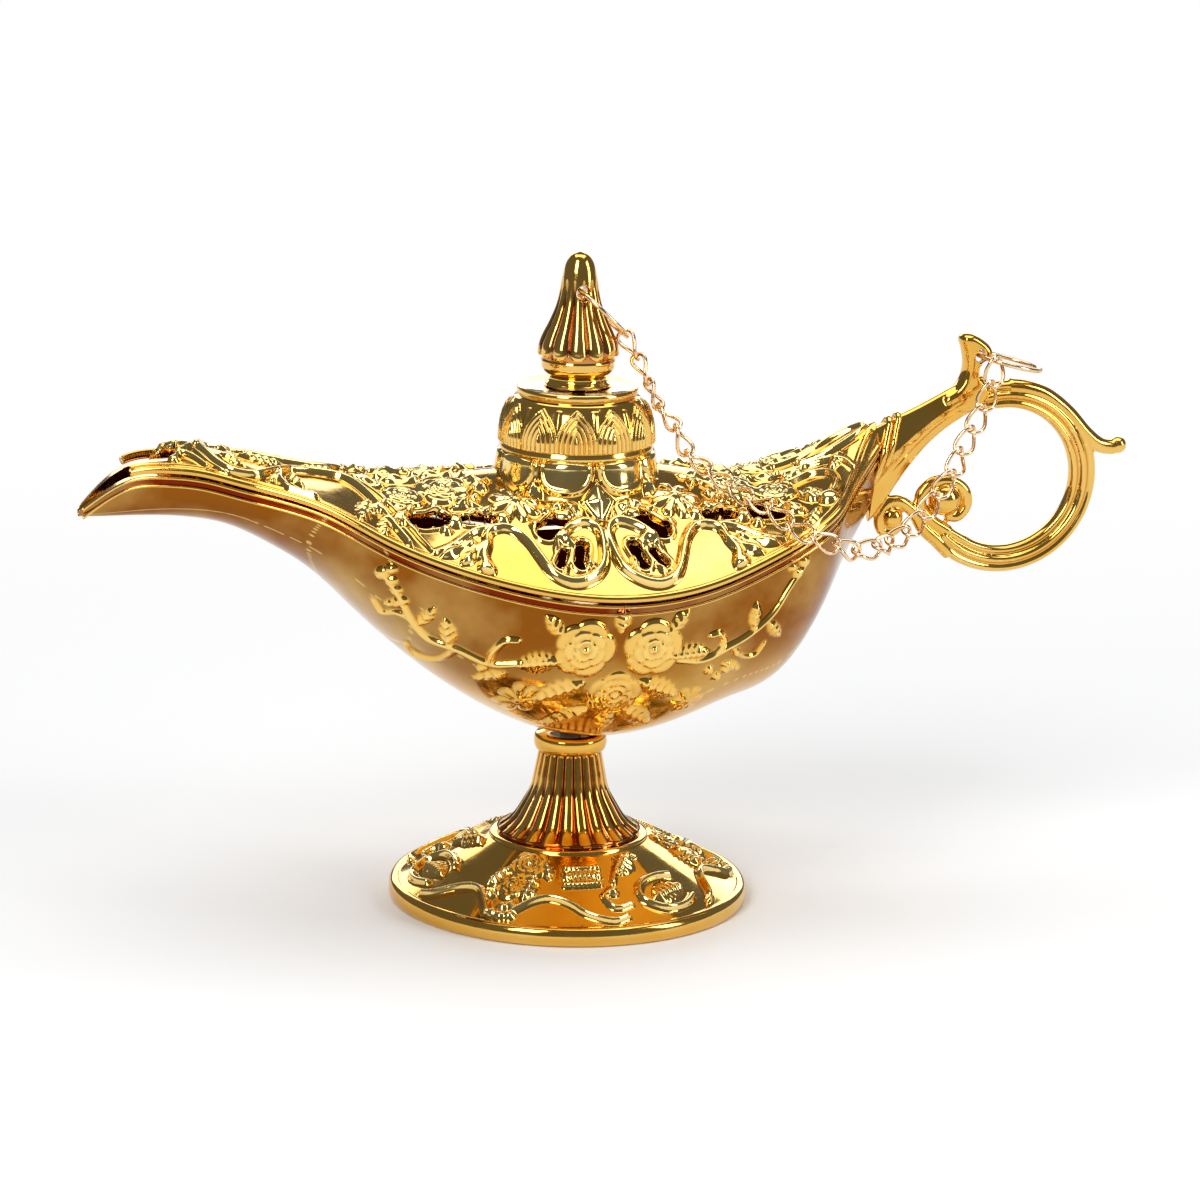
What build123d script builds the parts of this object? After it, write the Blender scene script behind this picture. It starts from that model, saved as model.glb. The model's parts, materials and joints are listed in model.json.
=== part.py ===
"""Genie oil lamp: a cast and plated table lamp with an openwork cover.

The lamp stands on a round foot. A fluted stem and a collar carry the boat-shaped
bowl, and one long bolt from under the foot clamps them together. The openwork
cover closes the bowl and ends in a throat, where the lid sits. A cast handle is
screwed to the tail, and a curb chain ties the lid's finial to the handle.

X runs along the lamp with the spout towards -X, Z is up, and the origin is the
centre of the foot on the table. Lengths are millimetres.
"""

import math
import os

from build123d import *

# Clearances and overruns
seam_gap = 0.3
bolt_clearance = 0.2
thread_gap = 0.05
cut_overrun = 5.0

# Bowl and cover, as one boat: how far it reaches from the lamp's axis, and its heights
spout_reach = 96.0
tail_reach = 60.0
boat_beam = 66.0
bowl_depth = 33.2
casting_wall = 2.0
# Each station: place along the reach, then width, rim, keel and crown as shares
# of half the beam and of the bowl's depth above its floor
boat_station_shares = [
    (-1.000, 0.030, 1.436, 1.400, 1.450),
    (-0.958, 0.100, 1.545, 1.398, 1.600),
    (-0.906, 0.165, 1.640, 1.398, 1.690),
    (-0.844, 0.220, 1.662, 1.395, 1.755),
    (-0.776, 0.275, 1.648, 1.377, 1.772),
    (-0.708, 0.335, 1.602, 1.331, 1.730),
    (-0.625, 0.440, 1.548, 1.211, 1.657),
    (-0.542, 0.576, 1.476, 1.051, 1.608),
    (-0.448, 0.727, 1.337, 0.789, 1.572),
    (-0.344, 0.850, 1.211, 0.518, 1.554),
    (-0.198, 0.975, 1.090, 0.223, 1.572),
    (0.000, 1.000, 1.000, 0.012, 1.587),
    (0.300, 0.979, 1.054, 0.078, 1.566),
    (0.500, 0.900, 1.169, 0.205, 1.503),
    (0.667, 0.788, 1.289, 0.361, 1.497),
    (0.783, 0.621, 1.392, 0.675, 1.572),
    (0.867, 0.394, 1.482, 0.931, 1.663),
    (0.950, 0.197, 1.572, 1.166, 1.747),
    (1.000, 0.091, 1.633, 1.307, 1.783),
]
axis_crown_share = 1.587
first_cover_station = 2
crown_power_share = 1.7
section_points = 7

# Edge mouldings where the cover meets the bowl
lip_width = 0.7
lip_height = 1.5
lip_drop_share = 0.6

# Spout mouth: the cover's front is cut back on a slant
mouth_rim_share = 0.912
mouth_crown_share = 0.790

# Foot and its pad
foot_diameter = 70.0
foot_edge_height = 3.7
foot_edge_land = 1.8
foot_edge_round = 0.8
foot_wall = 2.2
foot_top_height = 13.0
foot_hub_radius = 7.0
foot_hub_thickness = 5.0
foot_step_radius = 15.4
foot_step_height = 0.9
pad_thickness = 1.2
pad_edge = 2.4

# Stem and collar
stem_base_radius = 14.0
stem_mid_radius = 9.2
stem_waist_radius = 6.9
stem_top_radius = 6.1
stem_height = 16.3
flute_count = 22
flute_radius_share = 0.45
flute_lift_share = 0.45
flute_end_gap = 0.7
collar_radius = 7.1
collar_height = 3.5
collar_bulge_share = 0.6

# Bolt that clamps foot, stem, collar and bowl
bolt_radius = 2.0
bolt_head_radius = 3.6
bolt_head_height = 2.4
bolt_slot_width = 1.0
bolt_slot_depth = 1.1
bolt_stub = 1.0
washer_radius = 4.6
washer_thickness = 0.8
nut_across_flats = 7.0
nut_thickness = 3.2
bowl_boss_radius = 6.6
bowl_boss_height = 5.0

# Throat on the cover and the lobes round it
throat_radius = 14.3
throat_foot_radius = 16.6
throat_rise = 2.6
throat_sink = 5.5
throat_bore_radius = 11.7
lobe_count = 8
lobe_relief = 0.6
lobe_half_width = 4.4
lobe_drop = 4.4

# Cover ornament in relief; places are shares of half the beam
relief_height = 0.8
scroll_width = 1.1
loop_place_share = (0.206, 0.745)
loop_length = 12.4
loop_width = 11.2
loop_tilt_deg = 14.0
loop_hole_share = 0.42
arch_place_share = (0.585, 0.800)
arch_radius = 5.9
arch_start_deg = 15.0
arch_sweep_deg = 170.0
diamond_place_share = (0.0, 0.530)
diamond_width = 3.6
diamond_length = 5.6
flower_place_share = (0.470, 0.405)
flower_radius = 3.3

# Openings through the cover; places are shares of half the beam
kidney_place_share = (0.250, 0.550)
kidney_length = 8.6
kidney_width = 3.2
kidney_tilt_deg = -46.0
slot_place_share = (0.720, 0.552)
slot_length = 5.4
slot_width = 2.6
bay_place_share = (1.000, 0.545)
bay_length = 6.6
bay_width = 4.4

# Lid
lid_seat_gap = 0.2
lid_bottom_radius = 14.1
lid_band_radius = 14.6
lid_shoulder_radius = 12.0
lid_band_height = 10.9
lid_flange_radius = 11.6
lid_flange_thickness = 2.0
lid_groove_depth = 0.7
lid_wall = 1.6
plug_clearance = 0.5
plug_wall = 1.2
plug_drop = 5.0
plug_flange_thickness = 1.5
petal_count = 12
petal_relief = 0.45
petal_low_share = 0.17
petal_high_share = 0.86

# Finial
finial_neck_radius = 6.1
finial_neck_height = 2.0
finial_cup_radius = 7.0
finial_belly_radius = 7.6
finial_belly_share = 0.30
finial_shoulder_radius = 5.2
finial_waist_radius = 3.7
finial_eye_share = 0.707
finial_height = 25.6
finial_tip_radius = 2.5
gadroon_count = 14
finial_eye_radius = 1.5
finial_screw_radius = 1.5
finial_screw_head_radius = 2.8
finial_screw_head_height = 1.6
finial_screw_reach = 7.0

# Rings at the two ends of the chain
ring_wire_radius = 0.45
ring_radius = 6.7
ring_eye_shift = 0.55
finial_ring_slope_deg = 44.0
handle_ring_slope_deg = 14.0
handle_hook_deg = 128.0

# Handle: its ring and where that ring stands from the boat's tail
handle_ring_offset = 27.0
handle_ring_drop = 6.5
handle_ring_inner_radius = 13.8
handle_ring_outer_radius = 19.2
handle_ring_thickness = 4.8
handle_ridge_share = 0.62
handle_ring_start_deg = 112.0
handle_ring_sweep_deg = 250.0

# Stalk stations: place along it, then centre, height and width as shares
stalk_root_height = 16.2
stalk_width = 6.0
stalk_rise = 13.2
stalk_reach = 20.5
stalk_ridge_share = 0.22
stalk_station_shares = [
    (0.00, 0.00, 1.00, 1.00),
    (0.26, 0.38, 0.69, 0.90),
    (0.52, 0.68, 0.50, 0.80),
    (1.00, 1.00, 0.40, 0.73),
]

# Thumb curl with the eye of the chain's ring
curl_height = 12.6
curl_width = 7.0
curl_thickness = 4.6
curl_edge_round = 1.0
curl_offset = 9.8
curl_rise = 16.4
curl_outline_shares = [
    (0.02, 0.18),
    (0.15, 0.56),
    (0.02, 0.92),
    (0.30, 1.00),
    (0.72, 0.93),
    (1.00, 0.72),
    (0.92, 0.52),
    (0.66, 0.34),
    (0.62, 0.06),
]
handle_eye_radius = 1.5
handle_eye_share = (0.54, 0.64)

# Handle strands: routes about the ring's centre, as shares of its outer radius
tail_wire_radius = 1.75
tail_route_shares = [
    (0.435, 0.800),
    (0.672, 0.625),
    (0.880, 0.417),
    (1.026, 0.292),
    (1.172, 0.262),
    (1.245, 0.282),
]
strand_wire_radius = 1.3
strand_route_shares = [
    (-0.600, -0.600),
    (-0.817, -0.411),
    (-1.020, -0.245),
    (-1.200, -0.172),
    (-1.345, -0.312),
    (-1.250, -0.475),
    (-1.110, -0.400),
]
scroll_route_shares = [
    (-0.531, -0.516),
    (-0.719, -0.391),
    (-0.828, -0.195),
    (-0.703, -0.010),
    (-0.516, -0.075),
    (-0.510, -0.250),
]
scroll_ball_radius = 1.9
scroll_ball_share = (-0.660, -0.195)
strand_ball_radius = 1.2
strand_ball_share = (-1.215, -0.340)

# Screw that holds the handle to the bowl's tail
handle_screw_radius = 1.3
handle_screw_head_radius = 2.3
handle_screw_head_height = 1.4
handle_screw_reach = 7.0
handle_hole_extra = 0.8

# Chain of twisted links
link_count = 24
link_width = 4.3
link_wire_radius = 0.37
link_hook_gap = 0.26
ring_hook_gap = 0.4
link_twist_share = 0.5
link_half_points = 4
chain_lean_deg = 120.0
chain_lean_end_share = 0.75
# Route from the finial's ring to the handle's: places along X, out along Y, and down
# from the straight line between both ends, all as shares of the span along X
chain_route_shares = [
    (0.076, -0.058, 0.158),
    (0.135, -0.115, 0.270),
    (0.199, -0.169, 0.324),
    (0.267, -0.243, 0.365),
    (0.317, -0.317, 0.394),
    (0.361, -0.375, 0.413),
    (0.401, -0.409, 0.430),
    (0.447, -0.418, 0.444),
    (0.523, -0.394, 0.467),
    (0.601, -0.345, 0.462),
    (0.686, -0.290, 0.437),
    (0.801, -0.223, 0.327),
    (0.893, -0.159, 0.204),
    (0.955, -0.115, 0.114),
]


def collar_bottom():
    return foot_top_height + stem_height


def bowl_floor():
    return collar_bottom() + collar_height


def boss_top():
    return bowl_floor() + bowl_boss_height


def crown_height():
    """Top of the cover's dome on the lamp's axis, before the throat rises from it."""
    return bowl_floor() + axis_crown_share * bowl_depth


def throat_top():
    return crown_height() + throat_rise


def lid_bottom():
    """The lid's seat; the cover stands a seam gap above the bowl, and its throat with it."""
    return throat_top() + seam_gap + lid_seat_gap


def flange_bottom():
    return lid_bottom() + lid_band_height


def flange_top():
    return flange_bottom() + lid_flange_thickness


def boat_station(number):
    """Real place and sizes of one station along the boat."""
    along, width, rim, keel, crown = boat_station_shares[number]
    reach = spout_reach if along < 0 else tail_reach
    return (
        along * reach,
        width * boat_beam / 2,
        bowl_floor() + rim * bowl_depth,
        bowl_floor() + keel * bowl_depth,
        bowl_floor() + crown * bowl_depth,
    )


def station_plane(x, z):
    """A plane across the boat, with its own x along world Y and its y up."""
    return Plane(origin=(x, 0, z), x_dir=(0, 1, 0), z_dir=(1, 0, 0))


def keel_points(wide, deep):
    """Half an ellipse hanging below the rim."""
    points = []
    for step in range(section_points):
        angle = math.pi * (1 + step / (section_points - 1))
        points.append((wide * math.cos(angle), deep * math.sin(angle)))
    return points


def dome_points(wide, tall):
    """The cover's arch, from one edge over the crown to the other."""
    points = []
    for step in range(section_points):
        share = 1 - 2 * step / (section_points - 1)
        points.append((wide * share, tall * (1 - abs(share) ** crown_power_share)))
    return points


def polygon_edges(points):
    """Straight edges through the points in turn, without the closing one."""
    return [Line(start, end) for start, end in zip(points, points[1:])]


def closed_polygon(points):
    return polygon_edges(points + points[:1])


def boat_section(x, z, curve, ledge, leg):
    """A face across the boat: a curve between two ledges, closed at the rim or past it."""
    (first_y, first_z), (last_y, last_z) = curve[0], curve[-1]
    side = math.copysign(ledge, last_y)
    corners = [(last_y, last_z), (last_y + side, last_z), (last_y + side, leg)]
    corners += [(first_y - side, leg), (first_y - side, first_z), (first_y, first_z)]
    if not ledge:
        corners = [(last_y, last_z), (last_y, leg), (first_y, leg), (first_y, first_z)]
    return station_plane(x, z) * make_face([Spline(*curve)] + polygon_edges(corners))


def thin_wall(half_width):
    """The casting's wall, thinner where the boat draws in to a point."""
    return min(casting_wall, half_width / 3)


def lowered(points, drop):
    return [(across, up + drop) for across, up in points]


def bowl_section(number):
    x, half_width, rim, keel, _ = boat_station(number)
    edge = thin_wall(half_width) * lip_drop_share
    curve = lowered(keel_points(half_width, rim - keel - edge), -edge)
    return boat_section(x, rim, curve, lip_width, 0)


def bowl_inside_section(number):
    x, half_width, rim, keel, _ = boat_station(number)
    wall = thin_wall(half_width)
    curve = keel_points(half_width - wall, rim - keel - wall)
    return boat_section(x, rim, curve, 0, cut_overrun)


def cover_section(number, growth=0.0):
    x, half_width, rim, _, crown = boat_station(number)
    curve = lowered(dome_points(half_width, crown - rim - lip_height), lip_height + growth)
    return boat_section(x, rim, curve, lip_width, 0)


def cover_inside_section(number):
    x, half_width, rim, _, crown = boat_station(number)
    wall = thin_wall(half_width)
    curve = dome_points(half_width - wall, crown - rim - wall)
    return boat_section(x, rim, curve, 0, -cut_overrun)


def loft_stations(section, numbers):
    return loft([section(number) for number in numbers])


def revolved(outline):
    """A turned piece from its half outline of (radius, height) points and edges."""
    return revolve(Plane.XZ * make_face(outline), Axis.Z)


def flute_cutters(stations, count):
    """Grooves down a turned piece: each is a loft of level circles on its outline."""
    circles = []
    for radius, height in stations:
        groove = flute_radius_share * 2 * math.pi * radius / count
        centre = radius + flute_lift_share * groove
        circles.append(Pos(centre, 0, height) * Circle(groove))
    groove_solid = loft(circles)
    return [Rot(0, 0, 360 * turn / count) * groove_solid for turn in range(count)]


def hub_bottom():
    return foot_top_height - foot_hub_thickness


def bolt_hole_radius():
    return bolt_radius + bolt_clearance


def make_base_pad():
    radius = foot_diameter / 2 - pad_edge - seam_gap
    return extrude(Circle(radius), pad_thickness)


def make_foot():
    """A thin-walled round foot with a rolled edge, a shallow cone and a hub."""
    edge = foot_diameter / 2
    land = edge - foot_edge_land
    step_bottom = foot_top_height - foot_step_height
    under_top = foot_top_height - foot_step_height - foot_wall
    lower = [
        (edge, foot_edge_height - foot_edge_round),
        (edge, 0),
        (edge - pad_edge, 0),
        (edge - pad_edge, pad_thickness),
        (land - foot_wall, pad_thickness),
        (foot_step_radius - foot_wall, under_top),
        (foot_hub_radius, under_top),
        (foot_hub_radius, hub_bottom()),
        (bolt_hole_radius(), hub_bottom()),
        (bolt_hole_radius(), foot_top_height),
        (foot_step_radius - foot_step_height, foot_top_height),
        (foot_step_radius, step_bottom),
        (land, foot_edge_height),
        (edge - foot_edge_round, foot_edge_height),
    ]
    corner = RadiusArc(lower[-1], lower[0], foot_edge_round)
    return revolved(polygon_edges(lower) + [corner])


def make_stem():
    """The flared stem, fluted from just above the foot to the collar."""
    bottom = foot_top_height
    top = bottom + stem_height
    curve_points = [
        (stem_base_radius, bottom),
        (stem_mid_radius, bottom + stem_height / 3),
        (stem_waist_radius, bottom + stem_height * 3 / 4),
        (stem_top_radius, top),
    ]
    bore = bolt_hole_radius()
    straight = [curve_points[-1], (bore, top), (bore, bottom), curve_points[0]]
    body = revolved([Spline(*curve_points)] + polygon_edges(straight))
    lifted = [(curve_points[0][0], bottom + flute_end_gap)] + curve_points[1:]
    lifted.append((stem_top_radius, top + cut_overrun))
    return body - flute_cutters(lifted, flute_count)


def make_collar():
    """A ring with a half-round side between the stem and the bowl."""
    bottom = collar_bottom()
    top = bottom + collar_height
    bore = bolt_hole_radius()
    bulge = (collar_radius, bottom + collar_bulge_share * collar_height)
    side = ThreePointArc((stem_top_radius, bottom), bulge, (bowl_boss_radius, top))
    straight = [(bowl_boss_radius, top), (bore, top), (bore, bottom), (stem_top_radius, bottom)]
    return revolved([side] + polygon_edges(straight))


def disc(radius, bottom, thickness):
    return extrude(Pos(0, 0, bottom) * Circle(radius), thickness)


def make_foot_bolt():
    """A slotted bolt from under the foot's hub up into the bowl."""
    seat = hub_bottom() - washer_thickness
    head = disc(bolt_head_radius, seat - bolt_head_height, bolt_head_height)
    top = boss_top() + washer_thickness + nut_thickness + bolt_stub
    shank = disc(bolt_radius, seat, top - seat)
    slot = Box(2 * bolt_head_radius + cut_overrun, bolt_slot_width, 2 * bolt_slot_depth)
    return head + shank - Pos(0, 0, seat - bolt_head_height) * slot


def make_washer(bottom):
    return disc(washer_radius, bottom, washer_thickness) - disc(
        bolt_hole_radius(), bottom, washer_thickness
    )


def make_bolt_nut():
    bottom = boss_top() + washer_thickness
    hexagon = RegularPolygon(nut_across_flats / 2, 6, major_radius=False)
    hole = Circle(bolt_radius + thread_gap)
    return extrude(Pos(0, 0, bottom) * (hexagon - hole), nut_thickness)


def stations():
    return range(len(boat_station_shares))


def cover_stations():
    return range(first_cover_station, len(boat_station_shares))


def make_bowl():
    """The boat-shaped oil bowl, drawn out to the spout and rising to the tail."""
    hull = loft_stations(bowl_section, stations())
    inside = loft_stations(bowl_inside_section, stations()[:-1])
    boss = disc(bowl_boss_radius, bowl_floor(), bowl_boss_height)
    bore = disc(bolt_hole_radius(), bowl_floor() - cut_overrun, bowl_boss_height + 2 * cut_overrun)
    return hull - inside + boss - bore - handle_screw_hole(handle_screw_radius + bolt_clearance)


def handle_screw_hole(radius):
    """A hole along X through the bowl's tail and into the handle's root."""
    length = handle_screw_length() + cut_overrun
    start = handle_screw_head_x() - cut_overrun
    return along_x(radius, start, length + handle_hole_extra)


def along_x(radius, start, length):
    plane = Plane(origin=(start, 0, handle_screw_height()), z_dir=(1, 0, 0))
    return extrude(plane * Circle(radius), length)


def handle_screw_height():
    """Half way between keel and rim at the tail."""
    _, _, rim, keel, _ = boat_station(len(boat_station_shares) - 1)
    return (rim + keel) / 2


def handle_screw_head_x():
    """The flat wall inside the bowl's tail, where the screw's head bears."""
    x, *_ = boat_station(len(boat_station_shares) - 2)
    return x


def handle_screw_length():
    return tail_reach - handle_screw_head_x() + handle_screw_reach


def cover_point(place_share, side):
    """A place on the cover's plan; side is -1 or 1 along X."""
    along, across = place_share
    return side * along * boat_beam / 2, -across * boat_beam / 2


def plan_oval(length, width):
    return Ellipse(length / 2, width / 2)


def loop_turn(side):
    return 90 + side * loop_tilt_deg


def near_scrolls():
    """Plan of the raised scrolls on the near half of the cover."""
    pieces = []
    for side in (-1, 1):
        loop_x, loop_y = cover_point(loop_place_share, side)
        band = plan_oval(loop_length, loop_width) - plan_oval(
            loop_length - 2 * scroll_width, loop_width - 2 * scroll_width
        )
        pieces.append(Pos(loop_x, loop_y) * Rot(0, 0, loop_turn(side)) * band)
        arch_x, arch_y = cover_point(arch_place_share, side)
        start = arch_start_deg if side > 0 else 180 - arch_start_deg - arch_sweep_deg
        arc = CenterArc((0, 0), arch_radius, start, arch_sweep_deg)
        pieces.append(Pos(arch_x, arch_y) * SlotArc(arc, scroll_width))
        pieces.append(Pos(*cover_point(flower_place_share, side)) * Circle(flower_radius))
    pieces.append(Pos(*cover_point(diamond_place_share, 1)) * diamond())
    return Sketch() + pieces


def diamond():
    half_width = diamond_width / 2
    half_length = diamond_length / 2
    corners = [(half_width, 0), (0, half_length), (-half_width, 0), (0, -half_length)]
    return make_face(closed_polygon(corners))


def near_openings():
    """Plan of the openings through the near half of the cover."""
    holes = []
    for side in (-1, 1):
        loop = plan_oval(loop_length * loop_hole_share, loop_width * loop_hole_share)
        holes.append(Pos(*cover_point(loop_place_share, side)) * loop)
        kidney = Rot(0, 0, side * kidney_tilt_deg) * SlotOverall(kidney_length, kidney_width)
        holes.append(Pos(*cover_point(kidney_place_share, side)) * kidney)
        slot = SlotOverall(slot_length, slot_width)
        holes.append(Pos(*cover_point(slot_place_share, side)) * slot)
        bay = SlotOverall(bay_length, bay_width)
        holes.append(Pos(*cover_point(bay_place_share, side)) * bay)
    return Sketch() + holes


def both_halves(plan):
    return plan + mirror(plan, Plane.XZ)


def plan_prism(plan):
    """A plan carried up through the whole cover."""
    return extrude(Pos(0, 0, bowl_floor()) * both_halves(plan), 2 * bowl_depth)


def radial_prism(outline, angle):
    """An upright outline carried outwards from the lamp's axis at one bearing."""
    plane = Plane(origin=(0, 0, 0), x_dir=(0, 1, 0), z_dir=(1, 0, 0))
    return Rot(0, 0, angle) * extrude(plane * outline, boat_beam / 2)


def throat_solid(growth):
    """The conical throat; growth swells its outside for the lobes."""
    top = throat_top()
    foot = crown_height() - throat_sink
    skirt = throat_foot_radius + growth - casting_wall
    outline = [
        (throat_bore_radius, top),
        (throat_radius + growth, top),
        (throat_foot_radius + growth, foot),
        (skirt, foot),
        (throat_bore_radius, top - plug_drop - plug_wall),
    ]
    return revolved(closed_polygon(outline))


def throat_lobes():
    """Smooth U-shaped lobes hanging round the throat."""
    top = throat_top()
    straight = lobe_drop - lobe_half_width
    upper = Pos(0, top) * Rectangle(2 * lobe_half_width, 2 * max(straight, seam_gap))
    lower = Pos(0, top) * Ellipse(lobe_half_width, lobe_drop)
    outline = upper + lower
    bearings = [360 * (turn + 0.5) / lobe_count for turn in range(lobe_count)]
    prisms = [radial_prism(outline, bearing) for bearing in bearings]
    return throat_solid(lobe_relief) & (Part() + prisms)


def mouth_cutter():
    """The slanted notch at the front of the cover, over the spout."""
    _, _, rim, _, _ = boat_station(first_cover_station)
    low_x = -mouth_rim_share * spout_reach
    high_x = -mouth_crown_share * spout_reach
    high = rim + cut_overrun
    corners = [
        (low_x, rim),
        (high_x, high),
        (-spout_reach, high),
        (-spout_reach, rim - cut_overrun),
        (low_x, rim - cut_overrun),
    ]
    return extrude(Plane.XZ * make_face(closed_polygon(corners)), boat_beam, both=True)


def make_cover():
    """The openwork cover: a thin dome with raised scrolls, openings and the throat."""
    dome = loft_stations(cover_section, cover_stations())
    grown = loft_stations(lambda number: cover_section(number, relief_height), cover_stations())
    inside = loft_stations(cover_inside_section, cover_stations()[:-1])
    relief = grown & plan_prism(near_scrolls())
    bore = disc(throat_bore_radius, bowl_floor(), 3 * bowl_depth)
    shell = dome + relief - inside
    shell -= plan_prism(near_openings())
    shell -= mouth_cutter()
    shell = shell - bore + throat_solid(0) + throat_lobes()
    return Pos(0, 0, seam_gap) * (shell - bore)


def lid_outline(growth):
    """Half outline of the lid's outside, from its seat to the flange's top."""
    bottom = lid_bottom()
    side = Spline(
        (lid_bottom_radius + growth, bottom),
        (lid_band_radius + growth, bottom + lid_band_height / 4),
        (lid_band_radius - lid_groove_depth + growth, bottom + lid_band_height * 2 / 3),
        (lid_shoulder_radius + growth, flange_bottom()),
    )
    return side


def lid_solid(growth):
    bottom = lid_bottom()
    low = flange_bottom()
    high = flange_top()
    cavity = lid_band_radius - lid_wall - lid_groove_depth
    ceiling = low - lid_wall
    straight = [
        (lid_shoulder_radius + growth, low),
        (lid_flange_radius - lid_groove_depth, low),
        (lid_flange_radius, low + lid_groove_depth),
        (lid_flange_radius, high),
        (finial_screw_radius + bolt_clearance, high),
        (finial_screw_radius + bolt_clearance, ceiling),
        (lid_shoulder_radius - lid_wall, ceiling),
        (cavity, low - lid_band_height / 2),
        (cavity, bottom),
        (lid_bottom_radius + growth, bottom),
    ]
    return revolved([lid_outline(growth)] + polygon_edges(straight))


def petal_outline():
    """A pointed arch standing on the lid's band."""
    low = lid_bottom() + petal_low_share * lid_band_height
    high = lid_bottom() + petal_high_share * lid_band_height
    half = math.pi * lid_band_radius / petal_count - seam_gap
    spring = (low + high) / 2
    tip = (0, high)
    right_bulge = (half * 3 / 4, (spring + high) / 2)
    left_bulge = (-half * 3 / 4, (spring + high) / 2)
    edges = [
        Line((-half, low), (half, low)),
        Line((half, low), (half, spring)),
        Spline((half, spring), right_bulge, tip),
        Spline(tip, left_bulge, (-half, spring)),
        Line((-half, spring), (-half, low)),
    ]
    return make_face(edges)


def make_lid():
    """The lid's shell: a bulging band of pointed petals under a flat flange."""
    outline = petal_outline()
    bearings = [360 * turn / petal_count for turn in range(petal_count)]
    prisms = [radial_prism(outline, bearing) for bearing in bearings]
    petals = lid_solid(petal_relief) & (Part() + prisms)
    return lid_solid(0) + petals


def make_lid_plug():
    """The turned ring inside the lid that drops into the throat."""
    outer = throat_bore_radius - plug_clearance
    inner = outer - plug_wall
    flange = lid_band_radius - lid_wall - lid_groove_depth - seam_gap
    bottom = lid_bottom() - plug_drop
    seat = lid_bottom() + seam_gap
    top = seat + plug_flange_thickness
    outline = [
        (inner, bottom),
        (outer, bottom),
        (outer, seat),
        (flange, seat),
        (flange, top),
        (inner, top),
    ]
    return revolved(closed_polygon(outline))


def finial_station(share):
    return flange_top() + share * finial_height


def finial_eye():
    return Vector(0, 0, finial_station(finial_eye_share))


def make_finial():
    """The gadrooned finial, drilled across for the chain's ring."""
    base = flange_top()
    neck_top = base + finial_neck_height
    tip = base + finial_height
    belly = finial_station(finial_belly_share)
    eye_height = finial_eye().Z
    shoulder = (belly + eye_height) / 2
    side = Spline(
        (finial_neck_radius, neck_top),
        (finial_cup_radius, (neck_top + belly) / 2),
        (finial_belly_radius, belly),
        (finial_shoulder_radius, shoulder),
        (finial_waist_radius, eye_height),
        (finial_tip_radius, tip - finial_tip_radius),
        (0, tip),
    )
    straight = [(0, tip), (0, base), (finial_neck_radius, base), (finial_neck_radius, neck_top)]
    body = revolved([side] + polygon_edges(straight))
    grooves = flute_cutters(
        [
            (finial_belly_radius, belly - finial_neck_height / 2),
            (finial_shoulder_radius, shoulder),
            (finial_waist_radius, eye_height),
        ],
        gadroon_count,
    )
    eye = across_y(finial_eye_radius, finial_eye(), finial_belly_radius)
    hole = disc(finial_screw_radius + thread_gap, base, finial_screw_reach + handle_hole_extra)
    return body - grooves - eye - hole


def across_y(radius, centre, half_length):
    """A rod along Y through one point, for the eyes of the rings."""
    plane = Plane(origin=centre, z_dir=(0, 1, 0))
    return extrude(plane * Circle(radius), half_length, both=True)


def make_finial_screw():
    """A pan-head screw up through the lid into the finial."""
    seat = flange_bottom() - lid_wall
    head = disc(finial_screw_head_radius, seat - finial_screw_head_height, finial_screw_head_height)
    shank = disc(finial_screw_radius, seat, flange_top() + finial_screw_reach - seat)
    return head + shank


def slope_direction(slope_deg):
    slope = math.radians(slope_deg)
    return Vector(math.cos(slope), 0, -math.sin(slope))


def ring_centre(eye, slope_deg):
    return eye + slope_direction(slope_deg) * (ring_radius - ring_eye_shift)


def make_ring(eye, slope_deg):
    """A wire ring through an eye along Y, hanging down its slope."""
    along = slope_direction(slope_deg)
    plane = Plane(origin=ring_centre(eye, slope_deg), x_dir=along, z_dir=along.cross(Vector(0, 1, 0)))
    return plane * Torus(ring_radius, ring_wire_radius)


def handle_centre():
    _, _, rim, _, _ = boat_station(len(boat_station_shares) - 1)
    return Vector(tail_reach + handle_ring_offset, 0, rim - handle_ring_drop)


def handle_place(share):
    """A point in the handle's own plane, from shares of its outer radius."""
    across, up = share
    radius = handle_ring_outer_radius
    return handle_centre() + Vector(across * radius, 0, up * radius)


def curl_corner():
    return handle_centre() + Vector(-curl_offset, 0, curl_rise)


def handle_eye():
    across, up = handle_eye_share
    return curl_corner() + Vector(across * curl_width, 0, up * curl_height)


def handle_ring_section():
    """Three ridges side by side, with a groove between each two."""
    middle = (handle_ring_inner_radius + handle_ring_outer_radius) / 2
    ridge = handle_ridge_share * handle_ring_thickness / 2
    spread = (handle_ring_outer_radius - handle_ring_inner_radius) / 2 - ridge
    core = Circle(handle_ring_thickness / 2)
    ridges = [Pos(side * spread, 0) * Circle(ridge) for side in (-1, 1)]
    angle = math.radians(handle_ring_start_deg)
    outward = Vector(math.cos(angle), 0, math.sin(angle))
    around = outward.cross(Vector(0, 1, 0))
    plane = Plane(origin=handle_centre() + outward * middle, x_dir=outward, z_dir=around)
    return plane * (core + ridges)


def handle_ring():
    axis = Axis(handle_centre(), (0, 1, 0))
    return revolve(handle_ring_section(), axis, handle_ring_sweep_deg)


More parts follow.
